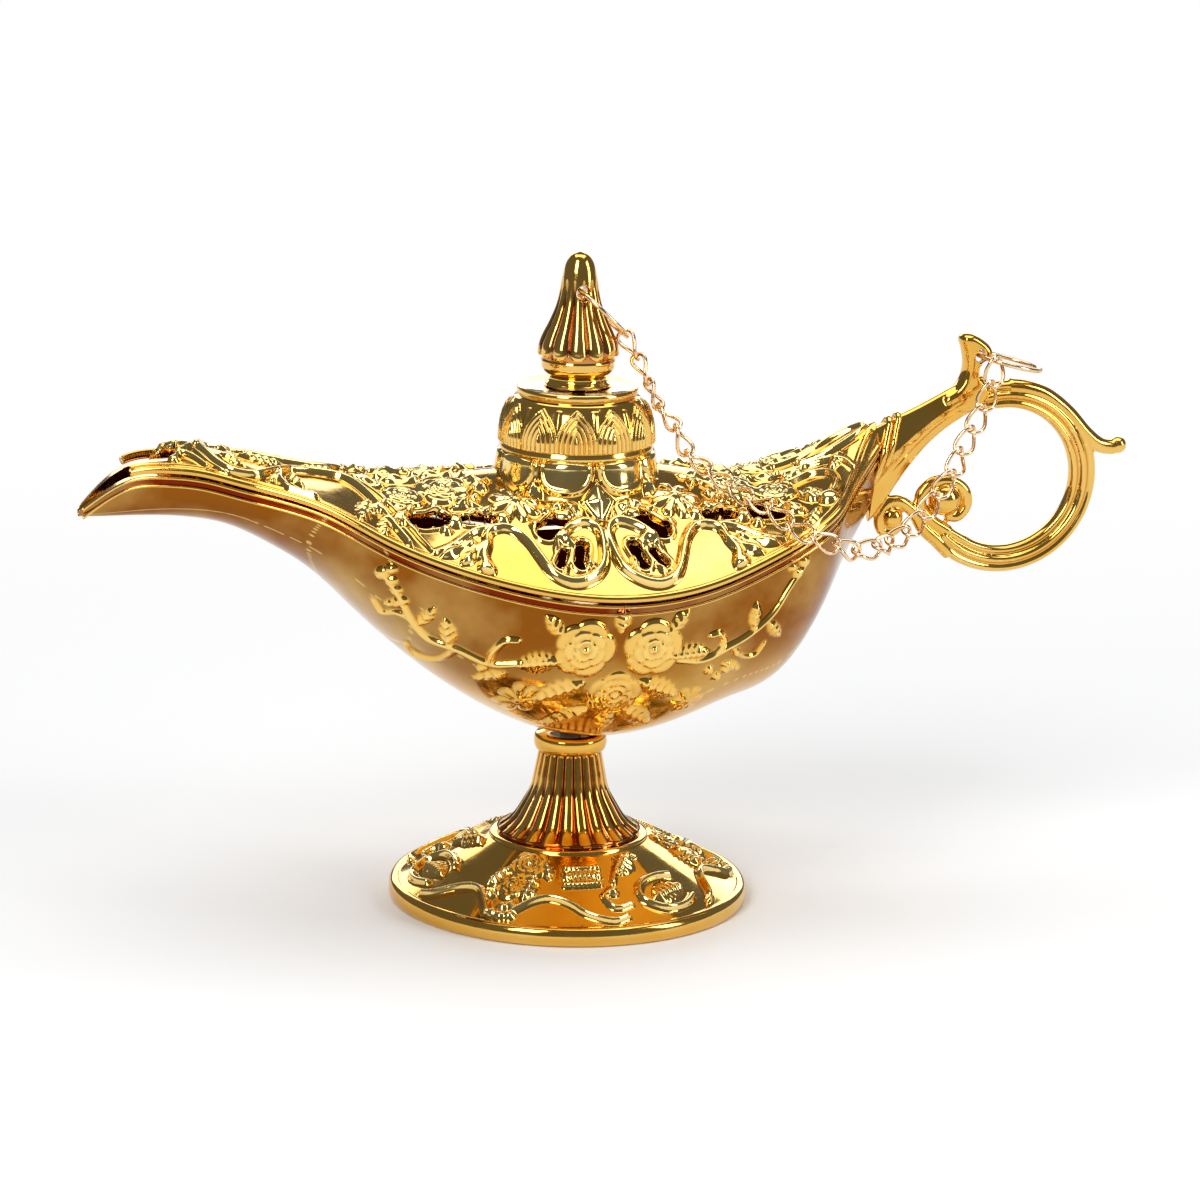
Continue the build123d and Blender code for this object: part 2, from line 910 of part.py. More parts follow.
def stalk():
    """The bevelled stalk, from the boat's tail up to the thumb curl."""
    _, _, rim, keel, crown = boat_station(len(boat_station_shares) - 1)
    root = (keel + crown) / 2
    sections = []
    for along, rise, height, width in stalk_station_shares:
        x = tail_reach + seam_gap + along * stalk_reach
        half_height = height * stalk_root_height / 2
        half_width = width * stalk_width / 2
        ridge = stalk_ridge_share * half_height
        corners = [
            (half_width, ridge),
            (0, half_height),
            (-half_width, ridge),
            (-half_width, -ridge),
            (0, -half_height),
            (half_width, -ridge),
        ]
        face = make_face(closed_polygon(corners))
        sections.append(station_plane(x, root + rise * stalk_rise) * face)
    return loft(sections)


def curl():
    """The thumb curl on top of the stalk, a rounded plate with a hooked tip."""
    corner = curl_corner()
    points = [(across * curl_width, up * curl_height) for across, up in curl_outline_shares]
    outline = make_face([Spline(*points), Line(points[-1], points[0])])
    plane = Plane(origin=corner, x_dir=(1, 0, 0), z_dir=(0, -1, 0))
    plate = extrude(plane * outline, curl_thickness / 2, both=True)
    return fillet(plate.faces().filter_by(Axis.Y).edges(), curl_edge_round)


def strand(route_shares, radius):
    """A round strand of the handle along a route, with round ends."""
    points = [handle_place(share) for share in route_shares]
    path = Spline(*points)
    section = Plane(origin=path @ 0, z_dir=path % 0) * Circle(radius)
    return sweep(section, path=path) + Pos(path @ 0) * Sphere(radius) + Pos(path @ 1) * Sphere(radius)


def make_handle():
    """One casting: ridged ring, bevelled stalk, thumb curl, outer tail and two scrolls."""
    body = handle_ring() + stalk() + curl()
    body += strand(tail_route_shares, tail_wire_radius)
    body += strand(strand_route_shares, strand_wire_radius)
    body += strand(scroll_route_shares, strand_wire_radius)
    body += Pos(handle_place(scroll_ball_share)) * Sphere(scroll_ball_radius)
    body += Pos(handle_place(strand_ball_share)) * Sphere(strand_ball_radius)
    body -= across_y(handle_eye_radius, handle_eye(), curl_thickness)
    return body - handle_screw_hole(handle_screw_radius + thread_gap)


def make_handle_screw():
    """The screw from inside the bowl through its tail into the handle's root."""
    seat = handle_screw_head_x()
    head = along_x(handle_screw_head_radius, seat - handle_screw_head_height, handle_screw_head_height)
    return head + along_x(handle_screw_radius, seat, handle_screw_length())


def hook_reach():
    """From a ring's wire centre to the pivot between it and the link hooked on it."""
    return (ring_wire_radius + link_wire_radius + ring_hook_gap) / 2


def chain_start():
    along = slope_direction(finial_ring_slope_deg)
    far_wire = finial_eye() + along * (2 * ring_radius - ring_eye_shift)
    return far_wire - along * hook_reach()


def chain_end():
    angle = math.radians(handle_hook_deg)
    along = slope_direction(handle_ring_slope_deg)
    radial = along * math.cos(angle) + Vector(0, -math.sin(angle), 0)
    wire = ring_centre(handle_eye(), handle_ring_slope_deg) + radial * ring_radius
    return wire + Vector(0, 0, hook_reach())


def chain_route():
    """The curve along which the chain hangs, as one spline between its two hooks."""
    start = chain_start()
    end = chain_end()
    span = end.X - start.X
    points = [start]
    for along, forward, drop in chain_route_shares:
        level = start.Z + along * (end.Z - start.Z)
        points.append(Vector(start.X + along * span, forward * span, level - drop * span))
    points.append(end)
    return Spline(*points)


def chain_pivots():
    """Where each link turns on the next, from the finial's ring to the handle's."""
    route = chain_route()
    return [route @ (step / link_count) for step in range(link_count + 1)]


def link_point(angle, half_length):
    half_width = link_width / 2 - link_wire_radius
    twist = link_twist_share * half_width
    return Vector(
        half_length * math.cos(angle),
        half_width * math.sin(angle),
        twist * math.sin(2 * angle),
    )


def link_tangent(angle, half_length):
    half_width = link_width / 2 - link_wire_radius
    twist = link_twist_share * half_width
    return Vector(
        -half_length * math.sin(angle),
        half_width * math.cos(angle),
        2 * twist * math.cos(2 * angle),
    )


def link_half(first_angle, half_length):
    """Half of a twisted oval link, swept along its own curve."""
    angles = [first_angle + math.pi * step / link_half_points for step in range(link_half_points + 1)]
    points = [link_point(angle, half_length) for angle in angles]
    ends = [link_tangent(angles[0], half_length), link_tangent(angles[-1], half_length)]
    path = Spline(*points, tangents=ends)
    section = Plane(origin=path @ 0, z_dir=path % 0) * Circle(link_wire_radius)
    return sweep(section, path=path)


def chain_lean(share):
    """Bearing of a link's face: over the top beside the lid, turning out to the side."""
    return math.radians(chain_lean_deg) * max(0, 1 - share / chain_lean_end_share)


def link_plane(number, pivots):
    """A plane at the link's middle: its x runs along the link, its z out of the face."""
    first, second = pivots[number], pivots[number + 1]
    along = (second - first).normalized()
    lean = chain_lean((number + 0.5) / link_count)
    facing = Vector(0, -math.cos(lean), math.sin(lean))
    face = (facing - along * facing.dot(along)).normalized()
    return Plane(origin=(first + second) / 2, x_dir=along, z_dir=face)


def make_link(number, pivots):
    """One twisted link; its ends cross the next links' ends at right angles."""
    chord = (pivots[number + 1] - pivots[number]).length
    half_length = chord / 2 + link_wire_radius + link_hook_gap / 2
    flat = link_half(math.pi / 2, half_length) + link_half(math.pi * 3 / 2, half_length)
    return link_plane(number, pivots) * flat


def lamp_nodes():
    """Every piece of the lamp by its node's name."""
    nodes = {
        "base_pad": make_base_pad(),
        "foot": make_foot(),
        "fluted_stem": make_stem(),
        "stem_collar": make_collar(),
        "foot_bolt": make_foot_bolt(),
        "foot_washer": make_washer(hub_bottom() - washer_thickness),
        "bowl_washer": make_washer(boss_top()),
        "bolt_nut": make_bolt_nut(),
        "oil_bowl": make_bowl(),
        "openwork_cover": make_cover(),
        "handle": make_handle(),
        "handle_screw": make_handle_screw(),
        "handle_jump_ring": make_ring(handle_eye(), handle_ring_slope_deg),
        "lid_shell": make_lid(),
        "lid_plug": make_lid_plug(),
        "finial": make_finial(),
        "finial_screw": make_finial_screw(),
        "finial_ring": make_ring(finial_eye(), finial_ring_slope_deg),
    }
    pivots = chain_pivots()
    for number in range(link_count):
        nodes[f"chain_link_{number + 1:02d}"] = make_link(number, pivots)
    return nodes


def main():
    os.makedirs("parts", exist_ok=True)
    for name, shape in lamp_nodes().items():
        export_step(shape, f"parts/{name}.step")


if __name__ == "__main__":
    main()
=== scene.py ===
"""Genie oil lamp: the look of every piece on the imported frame.

Lengths are millimetres until a mesh is made; MM turns them into Blender's metres.
The castings are rebuilt as fine meshes with their ornament raised from the surface.
X runs along the lamp with the spout towards -X, and Z is up.
"""

import json
import math

import bpy
import numpy as np
from mathutils import Matrix, Vector

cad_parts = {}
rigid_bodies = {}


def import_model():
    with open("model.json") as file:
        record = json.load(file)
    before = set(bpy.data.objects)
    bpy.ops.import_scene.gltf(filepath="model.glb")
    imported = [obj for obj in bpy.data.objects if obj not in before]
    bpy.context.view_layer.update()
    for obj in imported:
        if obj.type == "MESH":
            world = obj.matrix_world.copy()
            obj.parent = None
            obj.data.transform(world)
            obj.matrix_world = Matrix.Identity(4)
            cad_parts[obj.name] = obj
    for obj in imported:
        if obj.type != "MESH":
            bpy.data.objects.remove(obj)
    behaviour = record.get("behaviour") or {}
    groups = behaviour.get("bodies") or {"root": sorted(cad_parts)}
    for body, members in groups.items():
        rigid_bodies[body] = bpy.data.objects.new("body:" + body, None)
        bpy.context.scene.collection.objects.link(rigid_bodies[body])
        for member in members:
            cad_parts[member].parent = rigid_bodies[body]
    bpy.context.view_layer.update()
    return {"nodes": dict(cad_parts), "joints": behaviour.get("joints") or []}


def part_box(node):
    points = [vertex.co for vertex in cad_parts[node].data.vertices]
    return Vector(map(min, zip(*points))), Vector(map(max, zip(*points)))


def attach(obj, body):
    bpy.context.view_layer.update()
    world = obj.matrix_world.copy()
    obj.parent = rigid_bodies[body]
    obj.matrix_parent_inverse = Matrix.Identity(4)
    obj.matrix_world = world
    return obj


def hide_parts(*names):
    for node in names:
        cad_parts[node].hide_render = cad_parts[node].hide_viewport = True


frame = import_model()

MM = 0.001

# Bowl and cover: each station is a place along the reach, then width, rim, keel and
# crown as shares of half the beam and of the bowl's depth above its floor
spout_reach = 96.0
tail_reach = 60.0
boat_beam = 66.0
bowl_depth = 33.2
bowl_floor = 32.8
boat_station_shares = [
    (-1.000, 0.030, 1.436, 1.400, 1.450),
    (-0.958, 0.100, 1.545, 1.398, 1.600),
    (-0.906, 0.165, 1.640, 1.398, 1.690),
    (-0.844, 0.220, 1.662, 1.395, 1.755),
    (-0.776, 0.275, 1.648, 1.377, 1.772),
    (-0.708, 0.335, 1.602, 1.331, 1.730),
    (-0.625, 0.440, 1.548, 1.211, 1.657),
    (-0.542, 0.576, 1.476, 1.051, 1.608),
    (-0.448, 0.727, 1.337, 0.789, 1.572),
    (-0.344, 0.850, 1.211, 0.518, 1.554),
    (-0.198, 0.975, 1.090, 0.223, 1.572),
    (0.000, 1.000, 1.000, 0.012, 1.587),
    (0.300, 0.979, 1.054, 0.078, 1.566),
    (0.500, 0.900, 1.169, 0.205, 1.503),
    (0.667, 0.788, 1.289, 0.361, 1.497),
    (0.783, 0.621, 1.392, 0.675, 1.572),
    (0.867, 0.394, 1.482, 0.931, 1.663),
    (0.950, 0.197, 1.572, 1.166, 1.747),
    (1.000, 0.091, 1.633, 1.307, 1.783),
]
crown_power = 1.7
casting_wall = 1.7
seam_gap = 0.3
cover_lip = 1.5
cover_start_share = 0.906
mouth_low_share = 0.912
mouth_rise = 5.0
mouth_run = 11.8
axis_crown_share = 1.587
throat_rise = 2.6


# Smooth curves

def spline_bends(knots, values):
    """Second derivatives of the natural cubic spline through the values."""
    count = len(knots)
    steps = np.diff(knots)
    matrix = np.eye(count)
    right = np.zeros(count)
    for i in range(1, count - 1):
        matrix[i, i - 1 : i + 2] = steps[i - 1], 2 * (steps[i - 1] + steps[i]), steps[i]
        slopes = (values[i + 1] - values[i]) / steps[i] - (values[i] - values[i - 1]) / steps[i - 1]
        right[i] = 6 * slopes
    return np.linalg.solve(matrix, right)


def along_spline(knots, values, places):
    knots = np.asarray(knots, float)
    values = np.asarray(values, float)
    bends = spline_bends(knots, values)
    low = np.clip(np.searchsorted(knots, places) - 1, 0, len(knots) - 2)
    step = knots[low + 1] - knots[low]
    a = (knots[low + 1] - places) / step
    b = (places - knots[low]) / step
    curve = (a**3 - a) * bends[low] + (b**3 - b) * bends[low + 1]
    return a * values[low] + b * values[low + 1] + curve * step**2 / 6


def smooth_route(route, per_span=8, closed=False):
    """A Catmull-Rom curve through the points."""
    points = [np.array(p, float) for p in route]
    if closed:
        points = [points[-1]] + points + points[:2]
    else:
        points = [2 * points[0] - points[1]] + points + [2 * points[-1] - points[-2]]
    out = []
    for a, b, c, d in zip(points, points[1:], points[2:], points[3:]):
        for step in range(per_span):
            t = step / per_span
            square = 2 * a - 5 * b + 4 * c - d
            cube = 3 * b - a - 3 * c + d
            out.append(0.5 * (2 * b + (c - a) * t + square * t**2 + cube * t**3))
    if not closed:
        out.append(points[-2])
    return np.array(out)


stations = np.array(boat_station_shares)
station_x = stations[:, 0] * np.where(stations[:, 0] < 0, spout_reach, tail_reach)
half_beams = stations[:, 1] * boat_beam / 2
station_heights = bowl_floor + stations[:, 2:] * bowl_depth


def boat_at(x):
    """Half width, rim, keel and crown of the boat at places along X."""
    half = np.maximum(along_spline(station_x, half_beams, x), half_beams[0] / 2)
    rim, keel, crown = (along_spline(station_x, station_heights[:, k], x) for k in range(3))
    return half, rim, keel, crown


# Meshes

def grid_faces(rows, columns, closed_rows=False, closed_columns=False):
    index = np.arange(rows * columns).reshape(rows, columns)
    if closed_rows:
        index = np.concatenate([index, index[:1]], axis=0)
    if closed_columns:
        index = np.concatenate([index, index[:, :1]], axis=1)
    corners = [index[:-1, :-1], index[1:, :-1], index[1:, 1:], index[:-1, 1:]]
    return np.stack(corners, axis=-1).reshape(-1, 4)


def end_caps(rows, columns):
    """The faces that close a grid's first and last row."""
    last = range((rows - 1) * columns, rows * columns)
    return [list(range(columns)), list(last)[::-1]]


def mesh_object(name, points, faces, caps=(), relief=None):
    """An object from points in millimetres, quads, and end caps of any size."""
    points = np.asarray(points, float).reshape(-1, 3)
    used = np.zeros(len(points), bool)
    used[faces.ravel()] = True
    for cap in caps:
        used[list(cap)] = True
    renumber = np.cumsum(used) - 1
    loops = [renumber[faces].ravel()] + [renumber[np.array(cap)] for cap in caps]
    sizes = np.array([4] * len(faces) + [len(cap) for cap in caps])
    starts = np.concatenate([[0], np.cumsum(sizes)[:-1]])
    loop_vertices = np.concatenate(loops)
    mesh = bpy.data.meshes.new(name)
    mesh.vertices.add(int(used.sum()))
    mesh.vertices.foreach_set("co", (points[used] * MM).astype(np.float32).ravel())
    mesh.loops.add(len(loop_vertices))
    mesh.loops.foreach_set("vertex_index", loop_vertices.astype(np.int32))
    mesh.polygons.add(len(sizes))
    mesh.polygons.foreach_set("loop_start", starts.astype(np.int32))
    mesh.update(calc_edges=True)
    mesh.shade_smooth()
    raised = np.zeros(int(used.sum())) if relief is None else np.asarray(relief).reshape(-1)[used]
    attribute = mesh.attributes.new("raised", "FLOAT", "POINT")
    attribute.data.foreach_set("value", raised.astype(np.float32))
    made = bpy.data.objects.new(name, mesh)
    bpy.context.scene.collection.objects.link(made)
    return made


def grid_normals(points, closed_columns=False, closed_rows=False):
    if closed_rows:
        down = np.roll(points, -1, axis=0) - np.roll(points, 1, axis=0)
    else:
        down = np.gradient(points, axis=0)
    if closed_columns:
        across = np.roll(points, -1, axis=1) - np.roll(points, 1, axis=1)
    else:
        across = np.gradient(points, axis=1)
    normals = np.cross(down, across)
    return normals / np.maximum(np.linalg.norm(normals, axis=-1, keepdims=True), 1e-12)


def lathe(name, profile, columns=180, closed=False, relief=None):
    """A turned piece; its profile of (radius, height) runs up the outside.

    relief(angle, height, radius) gives how far each point is raised along its normal.
    """
    profile = np.asarray(profile, float)
    angles = -np.linspace(0, math.tau, columns, endpoint=False)
    radius = profile[:, :1]
    points = np.stack(
        [radius * np.cos(angles), radius * np.sin(angles), np.repeat(profile[:, 1:], columns, axis=1)],
        axis=-1,
    )
    raised = np.zeros(points.shape[:2])
    if relief is not None:
        around, radii = (np.broadcast_to(values, raised.shape) for values in (angles, radius))
        raised = relief(around, points[..., 2], radii)
        normals = grid_normals(points, closed_columns=True, closed_rows=closed)
        points = points + normals * raised[..., None]
    faces = grid_faces(len(profile), columns, closed, True)
    caps = [] if closed else end_caps(len(profile), columns)
    return mesh_object(name, points, faces, caps, raised)


def sweep(name, route, sections, closed=False, side=(0.0, 1.0, 0.0)):
    """A solid along a route; each section is an outline of (across, out) points.

    across runs along the side direction made square to the route.
    """
    route = np.asarray(route, float)
    if closed:
        tangents = np.roll(route, -1, axis=0) - np.roll(route, 1, axis=0)
    else:
        tangents = np.gradient(route, axis=0)
    tangents /= np.linalg.norm(tangents, axis=1, keepdims=True)
    side = np.broadcast_to(np.asarray(side, float), route.shape)
    across = side - tangents * (side * tangents).sum(1, keepdims=True)
    across /= np.linalg.norm(across, axis=1, keepdims=True)
    out = np.cross(tangents, across)
    sections = np.asarray(sections, float)
    if sections.ndim == 2:
        sections = np.broadcast_to(sections, (len(route),) + sections.shape)
    points = route[:, None] + across[:, None] * sections[..., :1] + out[:, None] * sections[..., 1:]
    count = sections.shape[1]
    faces = grid_faces(len(route), count, closed, True)
    caps = [] if closed else end_caps(len(route), count)
    return mesh_object(name, points, faces[:, ::-1], caps)


def round_section(radius, count=16):
    angles = np.linspace(0, math.tau, count, endpoint=False)
    return radius * np.stack([np.cos(angles), np.sin(angles)], axis=1)


def ball(name, centre, radius):
    steps = np.linspace(-math.pi / 2, math.pi / 2, 26)[1:-1]
    profile = np.stack([radius * np.cos(steps), radius * np.sin(steps)], axis=1)
    made = lathe(name, profile, 48)
    made.data.transform(Matrix.Translation(Vector(centre) * MM))
    return made


def joined(name, pieces):
    """One object from several, as one casting is one piece."""
    first = pieces[0]
    with bpy.context.temp_override(active_object=first, selected_editable_objects=pieces):
        bpy.ops.object.join()
    first.name = name
    first.data.name = name
    return first


def apply_modifiers(piece):
    graph = bpy.context.evaluated_depsgraph_get()
    mesh = bpy.data.meshes.new_from_object(piece.evaluated_get(graph))
    piece.modifiers.clear()
    piece.data = mesh
    mesh.shade_smooth()


def drill(piece, x, z, radius, reach, columns):
    """Cuts a round hole along Y through a casting."""
    bit = lathe("drill_bit", [(radius, -reach), (radius, reach)], columns)
    place = Matrix.Translation((x * MM, 0, z * MM))
    bit.data.transform(place @ Matrix.Rotation(math.pi / 2, 4, "X"))
    cut = piece.modifiers.new("eye", "BOOLEAN")
    cut.operation = "DIFFERENCE"
    cut.solver = "EXACT"
    cut.object = bit
    apply_modifiers(piece)
    bpy.data.objects.remove(bit)


def dress(piece, body, material, slot, *nodes):
    """Material and body of a piece, and the CAD nodes that it stands for; the slot is not used."""
    piece.data.materials.clear()
    piece.data.materials.append(material)
    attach(piece, body)
    if nodes:
        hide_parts(*nodes)


# Ornament raised from a flat canvas

# A rose's rounds of petals: edge as a share of its radius, count, turn and share of its height
rose_rounds = ((1.0, 5, 0.0, 0.62), (0.70, 5, 0.6, 0.84), (0.40, 3, 0.2, 1.0))


class Canvas:
    """Heights of the ornament at places (u, v); each form raises them to its own height."""

    def __init__(self, u, v):
        self.u = np.asarray(u, float)
        self.v = np.asarray(v, float)
        self.height = np.zeros_like(self.u)

    def window(self, centre, reach):
        near = (np.abs(self.u - centre[0]) < reach) & (np.abs(self.v - centre[1]) < reach)
        return near, self.u[near] - centre[0], self.v[near] - centre[1]

    def raise_to(self, near, rise):
        self.height[near] = np.maximum(self.height[near], rise)

    def bead(self, centre, radius, height):
        near, u, v = self.window(centre, radius)
        self.raise_to(near, height * np.sqrt(np.clip(1 - (u**2 + v**2) / radius**2, 0, 1)))

    def stroke(self, route, width, height, end_width=None, closed=False, groove=0.0):
        """A rounded ridge along a smooth route, with its width running to end_width."""
        points = smooth_route(route, 6, closed)
        if closed:
            points = np.vstack([points, points[:1]])
        end_width = width if end_width is None else end_width
        widths = np.linspace(width, end_width, len(points)) / 2
        low = points.min(0) - width
        high = points.max(0) + width
        near = (self.u > low[0]) & (self.u < high[0]) & (self.v > low[1]) & (self.v < high[1])
        u, v = self.u[near], self.v[near]
        rise = np.zeros_like(u)
        for start, end, half in zip(points, points[1:], widths):
            run = end - start
            share = np.clip(((u - start[0]) * run[0] + (v - start[1]) * run[1]) / (run @ run), 0, 1)
            across, up = u - start[0] - share * run[0], v - start[1] - share * run[1]
            gap = np.hypot(across, up) / half
            side = np.sign(across * run[1] - up * run[0]) * gap
            line = 1 - groove * np.exp(-(((side - 0.25) / 0.17) ** 2))
            ridge = np.clip(1 - gap**2, 0, 1) ** 0.75 * line
            rise = np.maximum(rise, ridge * min(1, 1.4 * half / widths[0]))
        self.raise_to(near, height * rise)

    def leaf(self, base, tip, width, height, veins=6, teeth=0.0):
        """A pointed leaf with a midrib and slanting veins."""
        base, tip = np.array(base, float), np.array(tip, float)
        length = np.linalg.norm(tip - base)
        run = (tip - base) / length
        near, u, v = self.window((base + tip) / 2, length / 2 + width)
        a = (u * run[0] + v * run[1]) / length + 0.5
        b = -u * run[1] + v * run[0]
        inside = np.clip(np.sin(math.pi * np.clip(a, 0, 1)), 0, 1) ** 0.8
        phase = math.tau * (a * veins - 0.9 * np.abs(b) / width)
        half = np.maximum(width / 2 * inside * (1 - teeth * (0.5 + 0.5 * np.cos(phase))), 1e-6)
        across = np.abs(b) / half
        body = np.clip(1 - across**2, 0, 1) ** 0.5
        carved = 0.66 + 0.24 * np.cos(phase) + 0.36 * np.exp(-((b / (0.10 * width)) ** 2))
        self.raise_to(near, height * body * carved * (across < 1))

    def rose(self, centre, radius, height, turn=0.0):
        """A full rose: three rounds of cupped petals, each round over the one outside it."""
        near, u, v = self.window(centre, radius * 1.1)
        angle = np.arctan2(v, u) + turn
        reach = np.hypot(u, v) / radius
        rise = np.zeros_like(u)
        for edge, petals, turned, top in rose_rounds:
            lobe = np.abs(np.cos(petals * (angle + turned) / 2))
            share = reach / (edge * (0.86 + 0.14 * lobe**0.7))
            cup = (0.34 + 0.66 * np.clip(share, 0, 1) ** 2.2) * np.sqrt(np.clip(1 - share**9, 0, 1))
            crease = 1 - 0.35 * np.exp(-((lobe / 0.16) ** 2))
            rise = np.where(share < 1, top * cup * crease, rise)
        rise = np.maximum(rise, 0.95 * np.sqrt(np.clip(1 - (reach / 0.15) ** 2, 0, 1)))
        self.raise_to(near, height * rise)

    def daisy(self, centre, radius, height, petals=8, turn=0.0):
        """An open flower with one round of petals about a bead."""
        near, u, v = self.window(centre, radius)
        angle = np.arctan2(v, u) + turn
        share = np.hypot(u, v) / radius
        wave = np.abs(np.cos(petals * angle / 2))
        edge = 0.3 + 0.7 * wave**0.45
        petal = np.sqrt(np.clip(1 - (share / edge) ** 2, 0, 1)) * (0.5 + 0.5 * wave**0.7)
        crease = 1 - 0.35 * np.exp(-((1 - wave) * 30) ** 2)
        self.raise_to(near, height * 0.85 * petal * crease)
        self.bead(centre, radius * 0.26, height)

    def kite(self, centre, half_width, up, down, height):
        """A faceted kite with a sunk border line, highest where its diagonals cross."""
        near, u, v = self.window(centre, max(half_width, up, down))
        share = np.abs(u) / half_width + np.where(v > 0, v / up, -v / down)
        facet = np.clip(1 - share, 0, 1)
        border = 0.55 * np.exp(-(((share - 0.86) / 0.10) ** 2))
        self.raise_to(near, height * np.maximum(facet**0.8, border) * (share < 1.05))


def softened(heights, rounds):
    """Ornament rounded off as a casting is, by averaging each place with its neighbours."""
    for _ in range(rounds):
        padded = np.pad(heights, 1, mode="edge")
        beside = padded[:-2, 1:-1] + padded[2:, 1:-1] + padded[1:-1, :-2] + padded[1:-1, 2:]
        heights = 0.5 * heights + 0.125 * beside
    return heights


def mirrored(route, side):
    return [(side * u, v) for u, v in route]


# Materials

def node_material(name):
    material = bpy.data.materials.new(name)
    material.use_nodes = True
    tree = material.node_tree
    return material, tree, tree.nodes["Principled BSDF"]


def noise(tree, scale, detail=3.0, roughness=0.5):
    place = tree.nodes.new("ShaderNodeTexCoord")
    node = tree.nodes.new("ShaderNodeTexNoise")
    node.inputs["Scale"].default_value = scale
    node.inputs["Detail"].default_value = detail
    node.inputs["Roughness"].default_value = roughness
    tree.links.new(place.outputs["Object"], node.inputs["Vector"])
    return node


def ramp(tree, source, stops):
    node = tree.nodes.new("ShaderNodeValToRGB")
    node.color_ramp.elements[0].position = stops[0][0]
    node.color_ramp.elements[1].position = stops[-1][0]
    for place, _ in stops[1:-1]:
        node.color_ramp.elements.new(place)
    for element, (_, value) in zip(node.color_ramp.elements, stops):
        shade = value if isinstance(value, tuple) else (value,) * 3
        element.color = (*shade, 1.0)
    tree.links.new(source, node.inputs["Fac"])
    return node


def mixed(tree, share, first, second):
    node = tree.nodes.new("ShaderNodeMix")
    node.data_type = "RGBA"
    tree.links.new(share, node.inputs["Factor"])
    tree.links.new(first, node.inputs["A"])
    tree.links.new(second, node.inputs["B"])
    return node.outputs["Result"]


def driven(tree, target, source, stops):
    """Drives an input by a noise through a ramp."""
    tree.links.new(ramp(tree, source.outputs["Fac"], stops).outputs["Color"], target)


def flat(tree, colour):
    node = tree.nodes.new("ShaderNodeRGB")
    node.outputs["Color"].default_value = (*colour, 1.0)
    return node.outputs["Color"]


def bumped(tree, shader, source, strength, distance):
    """Small roughness of the surface, with its depth in millimetres."""
    bump = tree.nodes.new("ShaderNodeBump")
    bump.inputs["Strength"].default_value = strength
    bump.inputs["Distance"].default_value = distance * MM
    tree.links.new(source.outputs["Fac"], bump.inputs["Height"])
    tree.links.new(bump.outputs["Normal"], shader.inputs["Normal"])


def by_level(tree, low, high):
    """From 0 at the height low to 1 at the height high."""
    place = tree.nodes.new("ShaderNodeTexCoord")
    split = tree.nodes.new("ShaderNodeSeparateXYZ")
    level = tree.nodes.new("ShaderNodeMapRange")
    level.interpolation_type = "SMOOTHSTEP"
    level.inputs["From Min"].default_value = low * MM
    level.inputs["From Max"].default_value = high * MM
    tree.links.new(place.outputs["Object"], split.inputs["Vector"])
    tree.links.new(split.outputs["Z"], level.inputs["Value"])
    return level.outputs["Result"]


def plated_gold(name, recess_shade, ground, mid, bright, polish, ripple, keel=None):
    """Plated casting: painted shade makes it dark in seams, cavities and sunk relief, and painted
    highlights make it paler on high relief and sharp ridges.
    """
    material, tree, shader = node_material(name)
    raised = tree.nodes.new("ShaderNodeAttribute")
    raised.attribute_name = "raised"
    spread = tree.nodes.new("ShaderNodeMapRange")
    spread.inputs["From Min"].default_value = -1.0
    spread.inputs["From Max"].default_value = 1.5
    tree.links.new(raised.outputs["Fac"], spread.inputs["Value"])
    # Colour by relief height: grooves and sunk relief take the darkest colour as painted shade, and high
    # relief takes the palest as painted highlight.
    stops = [(0.0, recess_shade), (0.3, recess_shade), (0.4, ground), (0.52, mid), (0.85, bright)]
    light_and_shade_by_height = ramp(tree, spread.outputs["Result"], stops).outputs["Color"]
    # Painted reflection: the pale keel colour low on the bowl, fading into the relief colours higher up.
    if keel:
        light_and_shade_by_height = mixed(tree, by_level(tree, *keel_reflection_levels), flat(tree, keel), light_and_shade_by_height)
    shape = tree.nodes.new("ShaderNodeNewGeometry")
    # Painted shade: darker in concave places such as seams and cavities.
    hollow_shade = ramp(tree, shape.outputs["Pointiness"], [(0.40, 0.75), (0.485, 0.0)])
    # Painted highlight: paler on sharp convex ridges and edges.
    ridge_highlight = ramp(tree, shape.outputs["Pointiness"], [(0.535, 0.0), (0.62, 0.6)])
    pale = flat(tree, bright)
    patches = ramp(tree, noise(tree, 45.0, 4.0).outputs["Fac"], [(0.42, 0.0), (0.70, 0.45)])
    tinted = mixed(tree, patches.outputs["Color"], light_and_shade_by_height, pale)
    shaded = mixed(tree, hollow_shade.outputs["Color"], tinted, flat(tree, recess_shade))
    highlighted = mixed(tree, ridge_highlight.outputs["Color"], shaded, pale)
    tree.links.new(highlighted, shader.inputs["Base Color"])
    shader.inputs["Metallic"].default_value = 1.0
    low, high = polish
    wear = noise(tree, 160.0, 6.0, 0.65)
    driven(tree, shader.inputs["Roughness"], wear, [(0.35, low), (0.75, high)])
    bumped(tree, shader, noise(tree, 420.0, 2.0), 0.35, ripple)
    return material


def plain_metal(name, colour, dark, polish):
    material, tree, shader = node_material(name)
    driven(tree, shader.inputs["Base Color"], noise(tree, 240.0, 5.0), [(0.3, dark), (0.7, colour)])
    shader.inputs["Metallic"].default_value = 1.0
    low, high = polish
    driven(tree, shader.inputs["Roughness"], noise(tree, 700.0, 4.0), [(0.3, low), (0.7, high)])
    return material


def inside_lacquer(name):
    """Dark red lacquer inside the bowl and under the cover."""
    material, tree, shader = node_material(name)
    stops = [(0.3, (0.30, 0.012, 0.008)), (0.7, (0.62, 0.04, 0.02))]
    driven(tree, shader.inputs["Base Color"], noise(tree, 90.0, 4.0), stops)
    shader.inputs["Roughness"].default_value = 0.5
    return material


